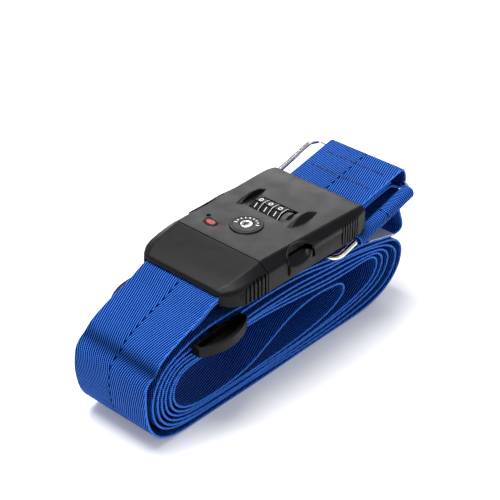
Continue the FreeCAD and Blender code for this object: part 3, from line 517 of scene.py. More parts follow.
# Other turns of the coil pass near both cuts, so each is looked for among the samples at its own end.
FIRST_STRETCH = 80
LAST_STRETCH = 110
coil_start = nearest(whole[:FIRST_STRETCH], FROM_RING[0])
coil_end = len(whole) - LAST_STRETCH + nearest(whole[-LAST_STRETCH:], OUTER_TURN[-1])

FOLD_AT = whole[coil_end][1] + 12.0
# the webbing's material puts painted shade along the pressed fold at FOLD_AT
WEBBING = webbing_material("webbing", FOLD_AT)


coil_samples = whole[coil_start:coil_end + 1]
CREASES = [(FOLD_AT, 2.0, FOLD_HALF, FOLD_SLANT, 0.6), (FOLD_AT - 13.0, -0.6, 7.0, -0.1, 0.0)]
coil = webbing("webbing_coil", coil_samples, dents=CREASES)
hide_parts("long_strap")
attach(coil, "root")

front_samples = whole[coil_end:]
front = webbing("webbing_front", front_samples, dents=CREASES)
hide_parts("strap_front_run", "strap_front_tail", "front_strap_loop")
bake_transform(front)


# ---------------- the turn beside the ring

BAR_Y = RING_MIDDLE_Y - RING_HALF
AROUND_BAR = [(BAR_Y + 5.2, -3.2), (BAR_Y + 3.4, 0.9), (BAR_Y + 1.4, 3.0), (BAR_Y - 3.2, 3.2),
              (BAR_Y - 3.4, -2.6), (BAR_Y + 1.2, -3.6), (BAR_Y + 5.2, -4.8)]
# each column's share of the webbing's width, and its y once the webbing is folded to run rearwards
BAR_SHARES = [(v + WEB_HALF) / (2 * WEB_HALF) for v, _ in COLUMNS]
FOLD_Y = [v for v, _ in COLUMNS]
FOLD_BULGE = Vector((-1, 1, 0)).normalized()
EASE_LENGTH = 6.0
LEG_ROWS, TURN_ROWS, RUN_ROWS = 34, 8, 44


def on_bar(y, w, share):
    """A point of the webbing that goes round the bar, in millimetres."""
    x, z = on_ring(LOOP_START_U + LOOP_WIDTH * share, w)
    return Vector((x, y, z))


def point_on(samples, s):
    """The point at the length s of an evenly sampled route that starts at length 0."""
    step = samples[1][1]
    k = min(int(s / step), len(samples) - 2)
    return samples[k][0].lerp(samples[k + 1][0], (s - samples[k][1]) / step)


def ring_turn():
    """From the sewn tail round the ring's right bar, across under it, then folded to run rearwards."""
    tail = [(TAIL_END_Y, TAIL_W), (-12.0, TAIL_W)]
    loop_samples = spline(tail + [leaning(y, w) for y, w in AROUND_BAR], 0.9)
    rows = [[on_bar(point.x, point.y, q) for q in BAR_SHARES] for point, _ in loop_samples]
    us = [[s] * len(BAR_SHARES) for _, s in loop_samples]
    (leg_y, leg_w), gone = loop_samples[-1]
    for k in range(1, LEG_ROWS + 1):
        ys = [leg_y + k / LEG_ROWS * (end_y - leg_y) for end_y in FOLD_Y]
        rows.append([on_bar(y, leg_w + min(1.0, (y - leg_y) / EASE_LENGTH) * (LEG_W - leg_w), q)
                     for y, q in zip(ys, BAR_SHARES)])
        us.append([gone + y - leg_y for y in ys])
    # each column turns over its own place, and goes on along the strap's route from there
    run = whole[:coil_start + 1]
    run_from = []
    for q in BAR_SHARES:
        over = on_bar(0, LEG_W, q).x - 0.5
        run_from.append(next(k for k in range(len(run)) if run[k][0].x >= over))
    for k in range(1, TURN_ROWS + 1):
        angle = math.pi * k / TURN_ROWS
        row = []
        for y, q, start in zip(FOLD_Y, BAR_SHARES, run_from):
            upper = on_bar(y, LEG_W, q)
            lower = Vector((run[start][0].x, y, run[start][0].y))
            reach = 0.45 * (upper.z - lower.z) + 0.1
            row.append(upper.lerp(lower, (1 - math.cos(angle)) / 2) + FOLD_BULGE * reach * math.sin(angle))
        rows.append(row)
        us.append([gone + y - leg_y + k * 0.3 for y in FOLD_Y])
    for k in range(1, RUN_ROWS + 1):
        t = k / RUN_ROWS
        lengths = [run[start][1] + t * (run[-1][1] - run[start][1]) for start in run_from]
        drift = t * wave(run[-1][1], *DRIFT)
        points = [point_on(run, s) for s in lengths]
        rows.append([Vector((point.x, y + drift, point.y)) for point, y in zip(points, FOLD_Y)])
        us.append(lengths)
    return cloth("webbing_ring_turn", rows, us, COLUMNS, WEBBING), gone


turn, loop_length = ring_turn()
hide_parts("strap_ring_turn", "ring_strap_tail", "ring_strap_loop")
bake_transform(turn)

# ---------------- the short strap

SHORT_STRAP_START = (78.0, 69.2)
SHORT_STRAP_ANGLE = math.radians(12.0)
UNDER = [(4.0, -3.0), (26.0, -3.0), (32.0, -5.0), (37.0, -10.7), (42.4, -10.7), (42.4, 0.05), (36.0, 0.0)]
short_route = [on_slope(SHORT_STRAP_START, SHORT_STRAP_ANGLE, u, w) for u, w in UNDER]
short_route += [SHORT_STRAP_START, (74.5, 68.9), (69.1, 68.9), (69.1, 64.2), (72.6, 64.1)]
short_route += [on_slope(SHORT_STRAP_START, SHORT_STRAP_ANGLE, u, -1.5) for u in (1.0, 30.0)]
short_samples = spline(short_route, 1.2)
short = webbing("webbing_short", short_samples, drift=0.0)
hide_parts("short_strap")
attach(short, "root")

# ---------------- plain materials for the rest


def plastic_material(name, colour, rough, grain=0.05, gloss=0.25):
    n = Nodes(name)
    return n.set(Base_Color=n.mottled(colour, 35.0, 0.9),
                 Roughness=n.map(n.noise(120.0, 3.0), 0.3, 0.7, rough - 0.04, rough + 0.05),
                 Normal=n.bump(n.noise(2200.0, 2.0), grain, 0.0002), Specular_IOR_Level=gloss)


def metal_material(name, colour, rough):
    n = Nodes(name)
    return n.set(Base_Color=(*colour, 1), Metallic=1.0,
                 Roughness=n.map(n.noise(150.0, 3.0), 0.3, 0.7, rough * 0.8, rough * 1.25),
                 Normal=n.bump(n.noise(900.0, 3.0), 0.03, 0.0001))


# colour, roughness, and for some the height of the grain and the strength of the reflection
PLASTICS = {
    "buckle_plastic": (rgb(13, 13, 16), 0.4, 0.05, 0.17),
    "slider_plastic": (rgb(9, 9, 10), 0.42, 0.05, 0.15),
    "wheel_plastic": (rgb(5, 5, 6), 0.45, 0.05, 0.12),
    "grey_plastic": (rgb(62, 62, 66), 0.45),
    "red_plastic": (rgb(140, 14, 26), 0.35),
    "label_fabric": (rgb(205, 205, 212), 0.8, 0.3),
}
METALS = {
    "ring_chrome": ((0.9, 0.88, 0.84), 0.10),
    "steel": ((0.5, 0.5, 0.5), 0.35),
    "key_metal": ((0.58, 0.56, 0.53), 0.3),
    "brass_sleeve": ((0.6, 0.45, 0.2), 0.35),
}
MATERIALS = {name: plastic_material(name, *look) for name, look in PLASTICS.items()}
MATERIALS.update({name: metal_material(name, *look) for name, look in METALS.items()})
WHITE = plastic_material("white_marks", rgb(225, 225, 228), 0.5, 0.02)
THREAD = plastic_material("thread", rgb(38, 34, 46), 0.6, 0.3, 0.3)

for entry in frame["record"]["subparts"]:
    if entry["material_slot"] in MATERIALS:
        node = frame["nodes"][entry["node"]]
        node.data.materials.clear()
        node.data.materials.append(MATERIALS[entry["material_slot"]])

# ---------------- buckle shells

CORNER_STEPS = 6
CORNER_RADII = (1.3, 3.2, 3.4)
END_ROUND = 1.6
NEAR_EASE = 0.45
# how far the forms stand off the CAD's flat faces, so that those faces stay the CAD's own
FLAT_SLACK = 0.015
# sections of the two halves: x, half width, half width of the top, bottom, foot and top of the shoulder
FEMALE_SECTIONS = [(0.15, 34.0, 28.0, 60.0, 72.3, 76.5), (60.0, 34.0, 30.5, 60.0, 72.9, 76.5),
                   (74.0, 33.6, 31.0, 60.8, 74.0, 76.3), (78.0, 32.0, 30.0, 62.2, 73.4, 75.2)]
MALE_SECTIONS = [(-0.15, 34.0, 28.0, 60.0, 72.3, 76.5), (-14.0, 33.8, 27.2, 60.0, 70.8, 73.9),
                 (-22.5, 30.8, 25.4, 60.6, 69.6, 71.6), (-27.0, 25.6, 23.0, 61.8, 68.6, 69.8)]


def rounded_corner(before, corner, after, radius):
    """Points of an arc-like bend that replaces a corner of an outline."""
    before, corner, after = Vector(before), Vector(corner), Vector(after)
    to_before, to_after = (before - corner).normalized(), (after - corner).normalized()
    half_angle = to_before.angle(to_after) / 2
    longest = 0.45 * min((before - corner).length, (after - corner).length)
    reach = min(radius / math.tan(half_angle), longest)
    start, end = corner + to_before * reach, corner + to_after * reach
    points = []
    for k in range(CORNER_STEPS + 1):
        t = k / CORNER_STEPS
        points.append(start * (1 - t) ** 2 + corner * 2 * t * (1 - t) + end * t ** 2)
    return points


def buckle_outline(half, top_half, bottom, foot_z, top, shrink):
    """A buckle section with rounded edges, as (y, z) points, drawn in by `shrink`."""
    grow = FLAT_SLACK - shrink
    corners = [(0.0, bottom - grow), (half + grow, bottom - grow), (half + grow, foot_z - shrink / 2),
               (top_half + grow, top + grow), (0.0, top + grow)]
    right = [Vector(corners[0])]
    for k, radius in enumerate(CORNER_RADII, 1):
        right += rounded_corner(corners[k - 1], corners[k], corners[k + 1], radius)
    right.append(Vector(corners[-1]))
    left = [Vector((-p.x, p.y)) for p in right[-2:0:-1]]
    return right + left


def smooth_sections(sections):
    """The given sections as a finer list that eases through them."""
    columns = [[p for p, _ in spline([(s[0], s[k]) for s in sections], 0.5)]
               for k in range(1, len(sections[0]))]
    steps = 40
    first, last = sections[0][0], sections[-1][0]
    out = []
    for m in range(steps + 1):
        x = first + (last - first) * m / steps
        out.append((x, *(min(column, key=lambda p: abs(p.x - x)).y for column in columns)))
    return out


def section_at(sections, x):
    """The section values at x, between the two given sections that it lies between."""
    for first, second in zip(sections, sections[1:]):
        low, high = sorted((first[0], second[0]))
        if low - 1e-6 <= x <= high + 1e-6:
            t = (x - first[0]) / (second[0] - first[0])
            return [a + t * (b - a) for a, b in zip(first[1:], second[1:])]
    return min(sections[0], sections[-1], key=lambda end: abs(x - end[0]))[1:]


def buckle_solid(name, sections):
    """A loft along x with the far end rounded over and the near end only eased."""
    near, far = sections[0][0], sections[-1][0]
    way = math.copysign(1.0, far - near)
    stations = [(near - way * FLAT_SLACK, NEAR_EASE), (near + way * NEAR_EASE * 0.35, NEAR_EASE * 0.35),
                (near + way * NEAR_EASE, 0.0)]
    inner = [near + (far - near) * k / 24 for k in range(1, 24)]
    stations += [(x, 0.0) for x in inner if abs(x - far) > END_ROUND * 1.3]
    for k in range(7):
        a = math.pi / 2 * k / 6
        stations.append((far - way * END_ROUND * (1 - math.sin(a)) + way * FLAT_SLACK,
                         END_ROUND * (1 - math.cos(a))))
    return grid_solid(name, [[(x, y, z) for y, z in buckle_outline(*section_at(sections, x), shrink)]
                             for x, shrink in stations])


def apply_modifiers(obj):
    bpy.context.view_layer.update()
    graph = bpy.context.evaluated_depsgraph_get()
    mesh = bpy.data.meshes.new_from_object(obj.evaluated_get(graph))
    obj.modifiers.clear()
    old = obj.data
    obj.data = mesh
    bpy.data.meshes.remove(old)


def settle(obj, smooth_angle=32.0):
    """Apply the modifiers, and shade smooth except at sharp edges, large faces staying flat."""
    apply_modifiers(obj)
    shade_smooth(obj.data, smooth_angle)
    weighted = obj.modifiers.new("normals", "WEIGHTED_NORMAL")
    weighted.keep_sharp = True
    weighted.weight = 100
    apply_modifiers(obj)
    return obj


def combine(obj, tool, operation):
    """Cut or intersect a piece with a tool, which is used up."""
    step = obj.modifiers.new("step", "BOOLEAN")
    step.operation = operation
    step.solver = "EXACT"
    step.object = tool
    settle(obj)
    bpy.data.objects.remove(tool)
    return obj


def cad_copy(name, node):
    """A new piece with the mesh of a CAD node, its corners welded."""
    obj = bpy.data.objects.new(name, frame["nodes"][node].data.copy())
    bpy.context.scene.collection.objects.link(obj)
    face_outward(obj, weld=0.002 * MM)
    return obj


def soften(obj, width):
    """Round the edges that are left sharp."""
    bevel = obj.modifiers.new("edges", "BEVEL")
    bevel.width = width * MM
    bevel.segments = 2
    bevel.limit_method = "ANGLE"
    bevel.angle_limit = math.radians(38.0)
    bevel.harden_normals = False
    return settle(obj)


def grid_solids(name, solids):
    """One mesh of closed skins: each is a list of rings of points, and both its ends are capped."""
    verts, faces = [], []
    for rows in solids:
        first, count = len(verts), len(rows[0])
        verts += [at(*p) for row in rows for p in row]
        for start in range(first, len(verts) - count, count):
            for j in range(count):
                k = (j + 1) % count
                faces.append((start + j, start + k, start + count + k, start + count + j))
        faces.append(tuple(range(first, first + count)))
        faces.append(tuple(range(len(verts) - count, len(verts))))
    return solid_object(name, verts, faces)


def grid_solid(name, rows):
    return grid_solids(name, [rows])


BOX_SIDES = ((0, 1, 3, 2), (4, 6, 7, 5), (0, 4, 5, 1), (2, 3, 7, 6), (0, 2, 6, 4), (1, 5, 7, 3))


def blocks(name, corner_sets):
    """One mesh of separate blocks, each given by its eight corners in millimetres."""
    verts, faces = [], []
    for corners in corner_sets:
        faces += [tuple(len(verts) + k for k in side) for side in BOX_SIDES]
        verts += [at(*corner) for corner in corners]
    return solid_object(name, verts, faces)


def boxes(name, sizes):
    """One mesh of separate upright boxes, each given as x0, x1, y0, y1, z0, z1."""
    return blocks(name, [[(x, y, z) for x in (x0, x1) for y in (y0, y1) for z in (z0, z1)]
                         for x0, x1, y0, y1, z0, z1 in sizes])


def finish_piece(obj, body, slot_name, *nodes, material=None):
    """Give a piece its material and its body, and hide the CAD nodes that it stands for."""
    obj.data.materials.clear()
    obj.data.materials.append(material or MATERIALS[slot_name])
    if nodes:
        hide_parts(*nodes)
    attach(obj, body)
    return obj


# the line of the shoulder where it arches over a release button, as (x, z)
HOOD_ROUTE = [(13.9, 69.6), (14.1, 72.2), (15.6, 74.2), (19.0, 75.6), (24.0, 76.1), (29.0, 75.6),
              (32.8, 74.0), (35.8, 72.9), (40.0, 72.7), (48.0, 72.9)]
HOOD_RADIUS = 0.7
WELL_INNER_Y = 29.9
WELL_REAR_X = 33.2
BESIDE_BUCKLE_Y = 38.0
GROOVE_BOTTOM_Y = 32.5
# first x, pitch, width, lowest z, highest z of the grip grooves on each half
FRONT_GROOVES = (-18.4, 2.6, 1.2, 61.2, 72.4)
REAR_GROOVES = (56.4, 2.0, 0.9, 61.4, 73.4)
GROOVES = 7


def groove_tools(name, first, pitch, width, low_z, high_z):
    sizes = []
    for k in range(GROOVES):
        x = first + pitch * k
        for side in (-1, 1):
            near, far = sorted((side * GROOVE_BOTTOM_Y, side * BESIDE_BUCKLE_Y))
            sizes.append((x, x + width, near, far, low_z, high_z))
    return boxes(name, sizes)


def well_tool(name, side):
    """The space above a release button, under the arched shoulder."""
    outline = [(x + (0.5 if x < 16 else 0.0), z - HOOD_RADIUS / 2)
               for (x, z), _ in spline(HOOD_ROUTE, 1.0) if x < WELL_REAR_X]
    outline += [(WELL_REAR_X, 69.0), (14.6, 69.0)]
    near, far = sorted((side * WELL_INNER_Y, side * BESIDE_BUCKLE_Y))
    return grid_solid(name, [[(x, y, z) for x, z in outline] for y in (near, far)])


for name, node, sections, grooves, body in (
        ("buckle_upper_shell", "upper_cover", FEMALE_SECTIONS, REAR_GROOVES, "root"),
        ("buckle_lower_shell", "lower_cover", FEMALE_SECTIONS, REAR_GROOVES, "root"),
        ("front_upper_shell", "front_upper_cap", MALE_SECTIONS, FRONT_GROOVES, "front_half"),
        ("front_lower_shell", "front_lower_cap", MALE_SECTIONS, FRONT_GROOVES, "front_half")):
    # each shell is the part of its CAD cover inside the rounded form, with the grip grooves cut
    form = buckle_solid(name + "_form", smooth_sections(sections))
    piece = combine(cad_copy(name, node), form, "INTERSECT")
    combine(piece, groove_tools(name + "_grooves", *grooves), "DIFFERENCE")
    if node == "upper_cover":
        for side in (-1, 1):
            combine(piece, well_tool("well", side), "DIFFERENCE")
    finish_piece(piece, body, "buckle_plastic", node)


# ---------------- slider

SLIDER_CENTRE = (-29.0, 48.3)
SLIDER_SLOPE = math.radians(3.765)
SLIDER_HALF_LONG = 17.0
SLIDER_END_HALF = 31.0
SLIDER_MID_HALF = 37.0
SLIDER_RIM = 2.1
POCKET_INNER_Y = 27.4
POCKET_FLOOR_W, ABOVE_SLIDER_W = -1.4, 8.0


def slider_pocket(name, side):
    """The hollow inside a bowed end of the slider, open above."""
    reach = SLIDER_HALF_LONG - SLIDER_RIM
    outline = []
    steps = 20
    for k in range(steps + 1):
        u = -reach + 2 * reach * k / steps
        bow = SLIDER_END_HALF + (SLIDER_MID_HALF - SLIDER_END_HALF) * (1 - (u / SLIDER_HALF_LONG) ** 2)
        outline.append((u, max(POCKET_INNER_Y + 0.3, bow - SLIDER_RIM)))
    outline += [(reach, POCKET_INNER_Y), (-reach, POCKET_INNER_Y)]
    rows = []
    for w in (POCKET_FLOOR_W, ABOVE_SLIDER_W):
        placed = [(on_slope(SLIDER_CENTRE, SLIDER_SLOPE, u, w), side * y) for u, y in outline]
        rows.append([(x, y, z) for (x, z), y in placed])
    return grid_solid(name, rows)


slider = cad_copy("slider_frame", "strap_slider")
for side in (-1, 1):
    combine(slider, slider_pocket("pocket", side), "DIFFERENCE")
finish_piece(soften(slider, 0.45), "slider", "slider_plastic", "strap_slider")

# ---------------- wheel guards, hood and buttons

BUCKLE_TOP = 76.5
GUARD_X = (33.0, 54.4)
GUARD_HEIGHT = 3.0
GUARD_PEAK = 0.58
# the fin's section: y, how much further out where the fin is broad, and share of the height
GUARD_SECTION = [(16.3, 0.1, 0.7), (16.8, 0.0, 0.96), (17.4, 0.0, 1.0), (18.0, 0.0, 0.9), (18.4, 0.9, 0.42)]


def wheel_guard(name, side):
    """A half-moon fin: steep towards the wheels, sloping away outside, with a sharp rear point."""
    rows = []
    steps = 26
    base = BUCKLE_TOP - 0.5
    for k in range(steps + 1):
        t = k / steps
        x = GUARD_X[0] + t * (GUARD_X[1] - GUARD_X[0])
        rise = t / GUARD_PEAK if t < GUARD_PEAK else (1 - t) / (1 - GUARD_PEAK)
        swell = math.sin(math.pi / 2 * min(1.0, rise))
        height, broad = GUARD_HEIGHT * swell ** 1.15, 0.35 + 0.65 * swell
        outline = [(16.1, base)]
        outline += [(y + more * broad, BUCKLE_TOP + height * share) for y, more, share in GUARD_SECTION]
        outline.append((18.8 + 2.2 * broad, base))
        rows.append([(x, side * y, z) for y, z in outline])
    return settle(grid_solid(name, rows), 50.0)


def chamfer_y(x, z):
    """How far out the rear half's surface is at a height on its sloping shoulder."""
    half, top_half, _, foot_z, top = section_at(FEMALE_SECTIONS, x)
    if z <= foot_z:
        return half
    return half + (top_half - half) * (z - foot_z) / (top - foot_z)


def tube_rows(points, radius):
    """Rings of points round a line, for grid_solid; radius is a function of the share of the way."""
    rows = []
    points = [Vector(p) for p in points]
    for k, p in enumerate(points):
        way = (points[min(k + 1, len(points) - 1)] - points[max(k - 1, 0)]).normalized()
        side = way.cross(Vector((0, 0, 1)))
        if side.length < 0.1:
            side = way.cross(Vector((1, 0, 0)))
        side.normalize()
        other = side.cross(way)
        r = radius(k / (len(points) - 1))
        rows.append([tuple(p + r * (side * math.cos(a) + other * math.sin(a))) for a in circle_angles(8)])
    return rows


def button_hood(name, side):
    """The lip of the upper shell that arches over a release button and runs out along the shoulder."""
    points = [(x, side * (chamfer_y(x, z) + 0.1), z) for (x, z), _ in spline(HOOD_ROUTE, 0.6)]
    rows = tube_rows(points, lambda t: HOOD_RADIUS * min(1.0, 0.25 + 6 * t, 0.12 + 3.0 * (1 - t)))
    return settle(grid_solid(name, rows), 60.0)


BUTTON_X = (15.0, 32.0)
BUTTON_Y = (26.2, 35.4)
BUTTON_Z = (63.6, 71.7)
BUTTON_COLUMNS = [-1.0, -0.96, -0.88, -0.75, -0.6, -0.4, -0.2, 0.0, 0.2, 0.4, 0.6, 0.75, 0.88, 0.96, 1.0]
BUTTON_EDGE = 0.9
SCOOP_FROM_Y = 31.0
SCOOP_DEPTH = 4.4
SCOOP_SHIFT = 0.15


def release_button(name, side):
    """A side button: a flat face with rounded ends, and a thumb scoop like a half moon in its top."""
    rows = []
    middle, half = (BUTTON_X[0] + BUTTON_X[1]) / 2, (BUTTON_X[1] - BUTTON_X[0]) / 2
    (back_y, face_y), (bottom, top) = BUTTON_Y, BUTTON_Z
    steps = 14
    for k in range(steps + 1):
        t = k / steps
        y = back_y + t * (face_y - back_y)
        edge = max(0.0, (t - 0.9) / 0.1)
        pull = BUTTON_EDGE * (1 - math.sqrt(max(0.0, 1 - edge ** 2)))
        outer = max(0.0, (y - SCOOP_FROM_Y) / (face_y - SCOOP_FROM_Y))
        upper, lower = [], []
        for a in BUTTON_COLUMNS:
            x = middle + a * (half - pull)
            end_drop = 0.5 * abs(a) ** 8
            dip = SCOOP_DEPTH * outer ** 0.7 * max(0.0, 1 - (a + SCOOP_SHIFT) ** 2) ** 0.5
            upper.append((x, side * y, top - pull - dip - end_drop))
            lower.append((x, side * y, bottom + pull * 0.8 + end_drop))
        rows.append(upper + lower[::-1])
    return settle(grid_solid(name, rows), 42.0)


for side, word in ((1, "left"), (-1, "right")):
    finish_piece(wheel_guard("wheel_guard_" + word, side), "root", "buckle_plastic")
    finish_piece(button_hood("button_hood_" + word, side), "root", "buckle_plastic")
    finish_piece(release_button("button_" + word, side), word + "_button", "buckle_plastic",
                 "release_button_" + word)

# ---------------- stitches and label

STITCH_LONG = 2.9
STITCH_PITCH = 3.1
STITCH_THICK = 0.42
STITCH_SINK = 0.22
STITCH_SKEW = 0.25
STITCH_ROWS = (18.0, 31.0)
STITCH_FIRST_Y, STITCH_LAST_Y = -19.5, 22.5


def stitch_row(u):
    """Thread bars across the short strap at a distance u along its slope, as rings for grid_solids."""
    x, z = on_slope(SHORT_STRAP_START, SHORT_STRAP_ANGLE, u, WEB_THICK / 2 + 0.06)
    bars = []
    for k in range(int((STITCH_LAST_Y - STITCH_FIRST_Y) / STITCH_PITCH)):
        rows = []
        for t in (0.0, 0.12, 0.3, 0.5, 0.7, 0.88, 1.0):
            y = STITCH_FIRST_Y + k * STITCH_PITCH + t * STITCH_LONG
            r = STITCH_THICK * (0.35 + 0.65 * math.sin(math.pi * t) ** 0.5)
            sink = STITCH_SINK * (1 - math.sin(math.pi * t))
            rows.append([(x + STITCH_SKEW * (t - 0.5) + r * math.cos(a), y, z - sink + r * 0.8 * math.sin(a))
                         for a in circle_angles(8)])
        bars.append(rows)
    return bars


stitches = grid_solids("short_strap_stitches", [bar for u in STITCH_ROWS for bar in stitch_row(u)])
finish_piece(stitches, "root", "webbing", material=THREAD)

LABEL_LINE = [(91.0, 44.9), (100.5, 42.4), (112.0, 39.8)]
LABEL_MIDDLE_Y = -13.4
LABEL_HALF = 12.0
LABEL_THICK = 0.4
label_samples = spline(LABEL_LINE, 0.8)
label_columns = [(v, 1.0) for v in (-LABEL_HALF, -11.4, -8.0, -4.0, 0.0, 4.0, 8.0, 11.4, LABEL_HALF)]
label_rows = [[Vector((p.x, LABEL_MIDDLE_Y + v, p.y + 0.25 * wave(s, (0.5, 9.0, v * 0.15))))
               for v, _ in label_columns] for p, s in label_samples]
label = cloth("sewn_label", label_rows, [s for _, s in label_samples], label_columns,
              MATERIALS["label_fabric"], LABEL_THICK)
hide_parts("blank_label")
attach(label, "root")

# ---------------- number wheels

WHEEL_AT = (41.5, 71.5)
WHEEL_MIDDLES = (8.3, 1.7, -4.9)
WHEEL_HALF_WIDTH = 3.1
WHEEL_FLAT = 7.22
WHEEL_HALF_FLAT = 1.95
WHEEL_VALLEY = 6.85
VALLEY_HALF_ANGLE = 0.035
BORE_RADIUS = 3.0
FACES = 10
FACE_ANGLE = 2 * math.pi / FACES
# zero stands near the top of each wheel
FIRST_DIGIT_ANGLE = math.radians(88)


def wheel_outline():
    """The section of a wheel: ten flats with a rounded valley between neighbours, as (x, z)."""
    points = []
    for k in range(FACES):
        a = FIRST_DIGIT_ANGLE + FACE_ANGLE * k
        out, sideways = Vector((math.cos(a), math.sin(a))), Vector((-math.sin(a), math.cos(a)))
        points += [out * WHEEL_FLAT + sideways * shift for shift in (-WHEEL_HALF_FLAT, 0.0, WHEEL_HALF_FLAT)]
        valley = a + FACE_ANGLE / 2
        for b in (valley - VALLEY_HALF_ANGLE, valley + VALLEY_HALF_ANGLE):
            points.append(Vector((math.cos(b), math.sin(b))) * WHEEL_VALLEY)
    return points


def number_wheel(name, middle):
    """A wheel with rounded rims and a bore for the axle."""
    half = WHEEL_HALF_WIDTH
    rows = []
    for offset, inset in ((-half, 0.35), (-half + 0.12, 0.12), (-half + 0.4, 0.0), (half - 0.4, 0.0),
                          (half - 0.12, 0.12), (half, 0.35)):
        scale = 1 - inset / WHEEL_FLAT
        rows.append([(WHEEL_AT[0] + p.x * scale, middle + offset, WHEEL_AT[1] + p.y * scale)
                     for p in wheel_outline()])
    ring = oval(WHEEL_AT, BORE_RADIUS, BORE_RADIUS, 32)
    bore = [[(x, y, z) for x, z in ring] for y in (middle - 4, middle + 4)]
    return combine(grid_solid(name, rows), grid_solid(name + "_bore", bore), "DIFFERENCE")


def text_mesh(text, size, thick):
    """Vertices and faces of a flat raised numeral centred on the origin, in millimetres."""
    letters = bpy.data.curves.new("numeral", "FONT")
    letters.body = text
    letters.size = size
    letters.extrude = thick / 2
    letters.offset = 0.02
    letters.align_x = "CENTER"
    letters.align_y = "CENTER"
    verts, faces = take_mesh(letters)
    xs, ys = [v.x for v in verts], [v.y for v in verts]
    middle = Vector(((min(xs) + max(xs)) / 2, (min(ys) + max(ys)) / 2, 0))
    return [v - middle for v in verts], faces


DIGIT_SIZE = 4.6
DIGIT_SQUASH = 0.92
DIGIT_RAISED = 0.12
DIGIT_SHIFT = 0.25
RIM_LINE_FROM = -2.95
RIM_LINE_WIDTH = 0.24
RIM_LINE_BULGE = 0.18


def wheel_marks(name, middle):
    """The ten white numerals of a wheel and the white line along its right rim."""
    verts, faces = [], []
    for digit in range(FACES):
        angle = FIRST_DIGIT_ANGLE + FACE_ANGLE * digit
        out = Vector((math.cos(angle), 0, math.sin(angle)))
        up = Vector((math.sin(angle), 0, -math.cos(angle)))
        right = Vector((0, -1, 0))
        origin = Vector((WHEEL_AT[0], middle + DIGIT_SHIFT, WHEEL_AT[1])) + out * WHEEL_FLAT
        first = len(verts)
        points, sides = text_mesh(str(digit), DIGIT_SIZE, DIGIT_RAISED)
        verts += [at(*(origin + right * p.x + up * p.y * DIGIT_SQUASH + out * p.z)) for p in points]
        faces += [tuple(first + k for k in side) for side in sides]
    first = len(verts)
    steps = 120
    outline = []
    for a in circle_angles(steps):
        local = (a - FIRST_DIGIT_ANGLE + FACE_ANGLE / 2) % FACE_ANGLE - FACE_ANGLE / 2
        r = min(WHEEL_FLAT / math.cos(local), WHEEL_FLAT + RIM_LINE_BULGE)
        outline.append((math.cos(a) * r, math.sin(a) * r))
    for y in (middle + RIM_LINE_FROM, middle + RIM_LINE_FROM + RIM_LINE_WIDTH):
        for lift in (0.06, -0.5):
            scale = 1 + lift / WHEEL_FLAT
            verts += [at(WHEEL_AT[0] + x * scale, y, WHEEL_AT[1] + z * scale) for x, z in outline]
    for k in range(steps):
        m = (k + 1) % steps
        for a, b in ((0, 1), (1, 3), (3, 2), (2, 0)):
            faces.append((first + a * steps + k, first + a * steps + m, first + b * steps + m,
                          first + b * steps + k))
    return solid_object(name, verts, faces)


for k, middle in enumerate(WHEEL_MIDDLES, 1):
    finish_piece(number_wheel(f"wheel_{k}_body", middle), f"wheel_{k}", "wheel_plastic", f"number_wheel_{k}")
    finish_piece(wheel_marks(f"wheel_{k}_marks", middle), f"wheel_{k}", "wheel_plastic", material=WHITE)

# ---------------- key disc, key and marks

KEY_AT = (21.0, 0.0)
DISC_TOP = 77.05
TICKS = 9
FIRST_TICK_ANGLE = math.radians(112)
TICK_STEP = math.radians(22)
TICK_HALF_WIDTH = 0.32
HOLE_AT = (KEY_AT[0] + 0.3, 0.2)
HOLE_RADIUS = 0.95


def turned(name, profile):
    """A solid of revolution about the key's upright axis, from a closed profile of (r, z)."""
    verts, faces = [], []
    steps, count = 72, len(profile)
    for a in circle_angles(steps):
        verts += [at(KEY_AT[0] + r * math.cos(a), KEY_AT[1] + r * math.sin(a), z) for r, z in profile]
    for k in range(steps):
        m = (k + 1) % steps
        for j in range(count):
            i = (j + 1) % count
            faces.append((k * count + j, k * count + i, m * count + i, m * count + j))
    return settle(solid_object(name, verts, faces), 30.0)


def key_disc():
    """The disc round the key: a rounded rim, a fine groove, and a collar that goes down inside."""
    profile = [(3.42, 68.4), (5.95, 68.4), (5.95, 76.52), (8.95, 76.52), (9.0, 76.7), (8.93, 76.88),
               (8.75, 77.0), (8.4, DISC_TOP), (7.6, DISC_TOP), (7.45, 76.85), (7.3, 76.85),
               (7.15, DISC_TOP), (4.2, DISC_TOP), (3.9, 77.0), (3.42, 76.8)]
    return turned("key_disc_shell", profile)


def ring_marks():
    """Plain ticks round the key where it turns, longer at its two stops."""
    ticks = []
    for k in range(TICKS):
        angle = FIRST_TICK_ANGLE - TICK_STEP * k
        out = Vector((math.cos(angle), math.sin(angle)))
        aside = Vector((-out.y, out.x)) * TICK_HALF_WIDTH
        places = [Vector(KEY_AT) + out * r + shift
                  for r in ((4.9, 6.7) if k in (0, TICKS - 1) else (5.3, 6.4)) for shift in (-aside, aside)]
        ticks.append([(p.x, p.y, z) for p in places for z in (DISC_TOP - 0.2, DISC_TOP + 0.05)])
    return blocks("key_ring_ticks", ticks)


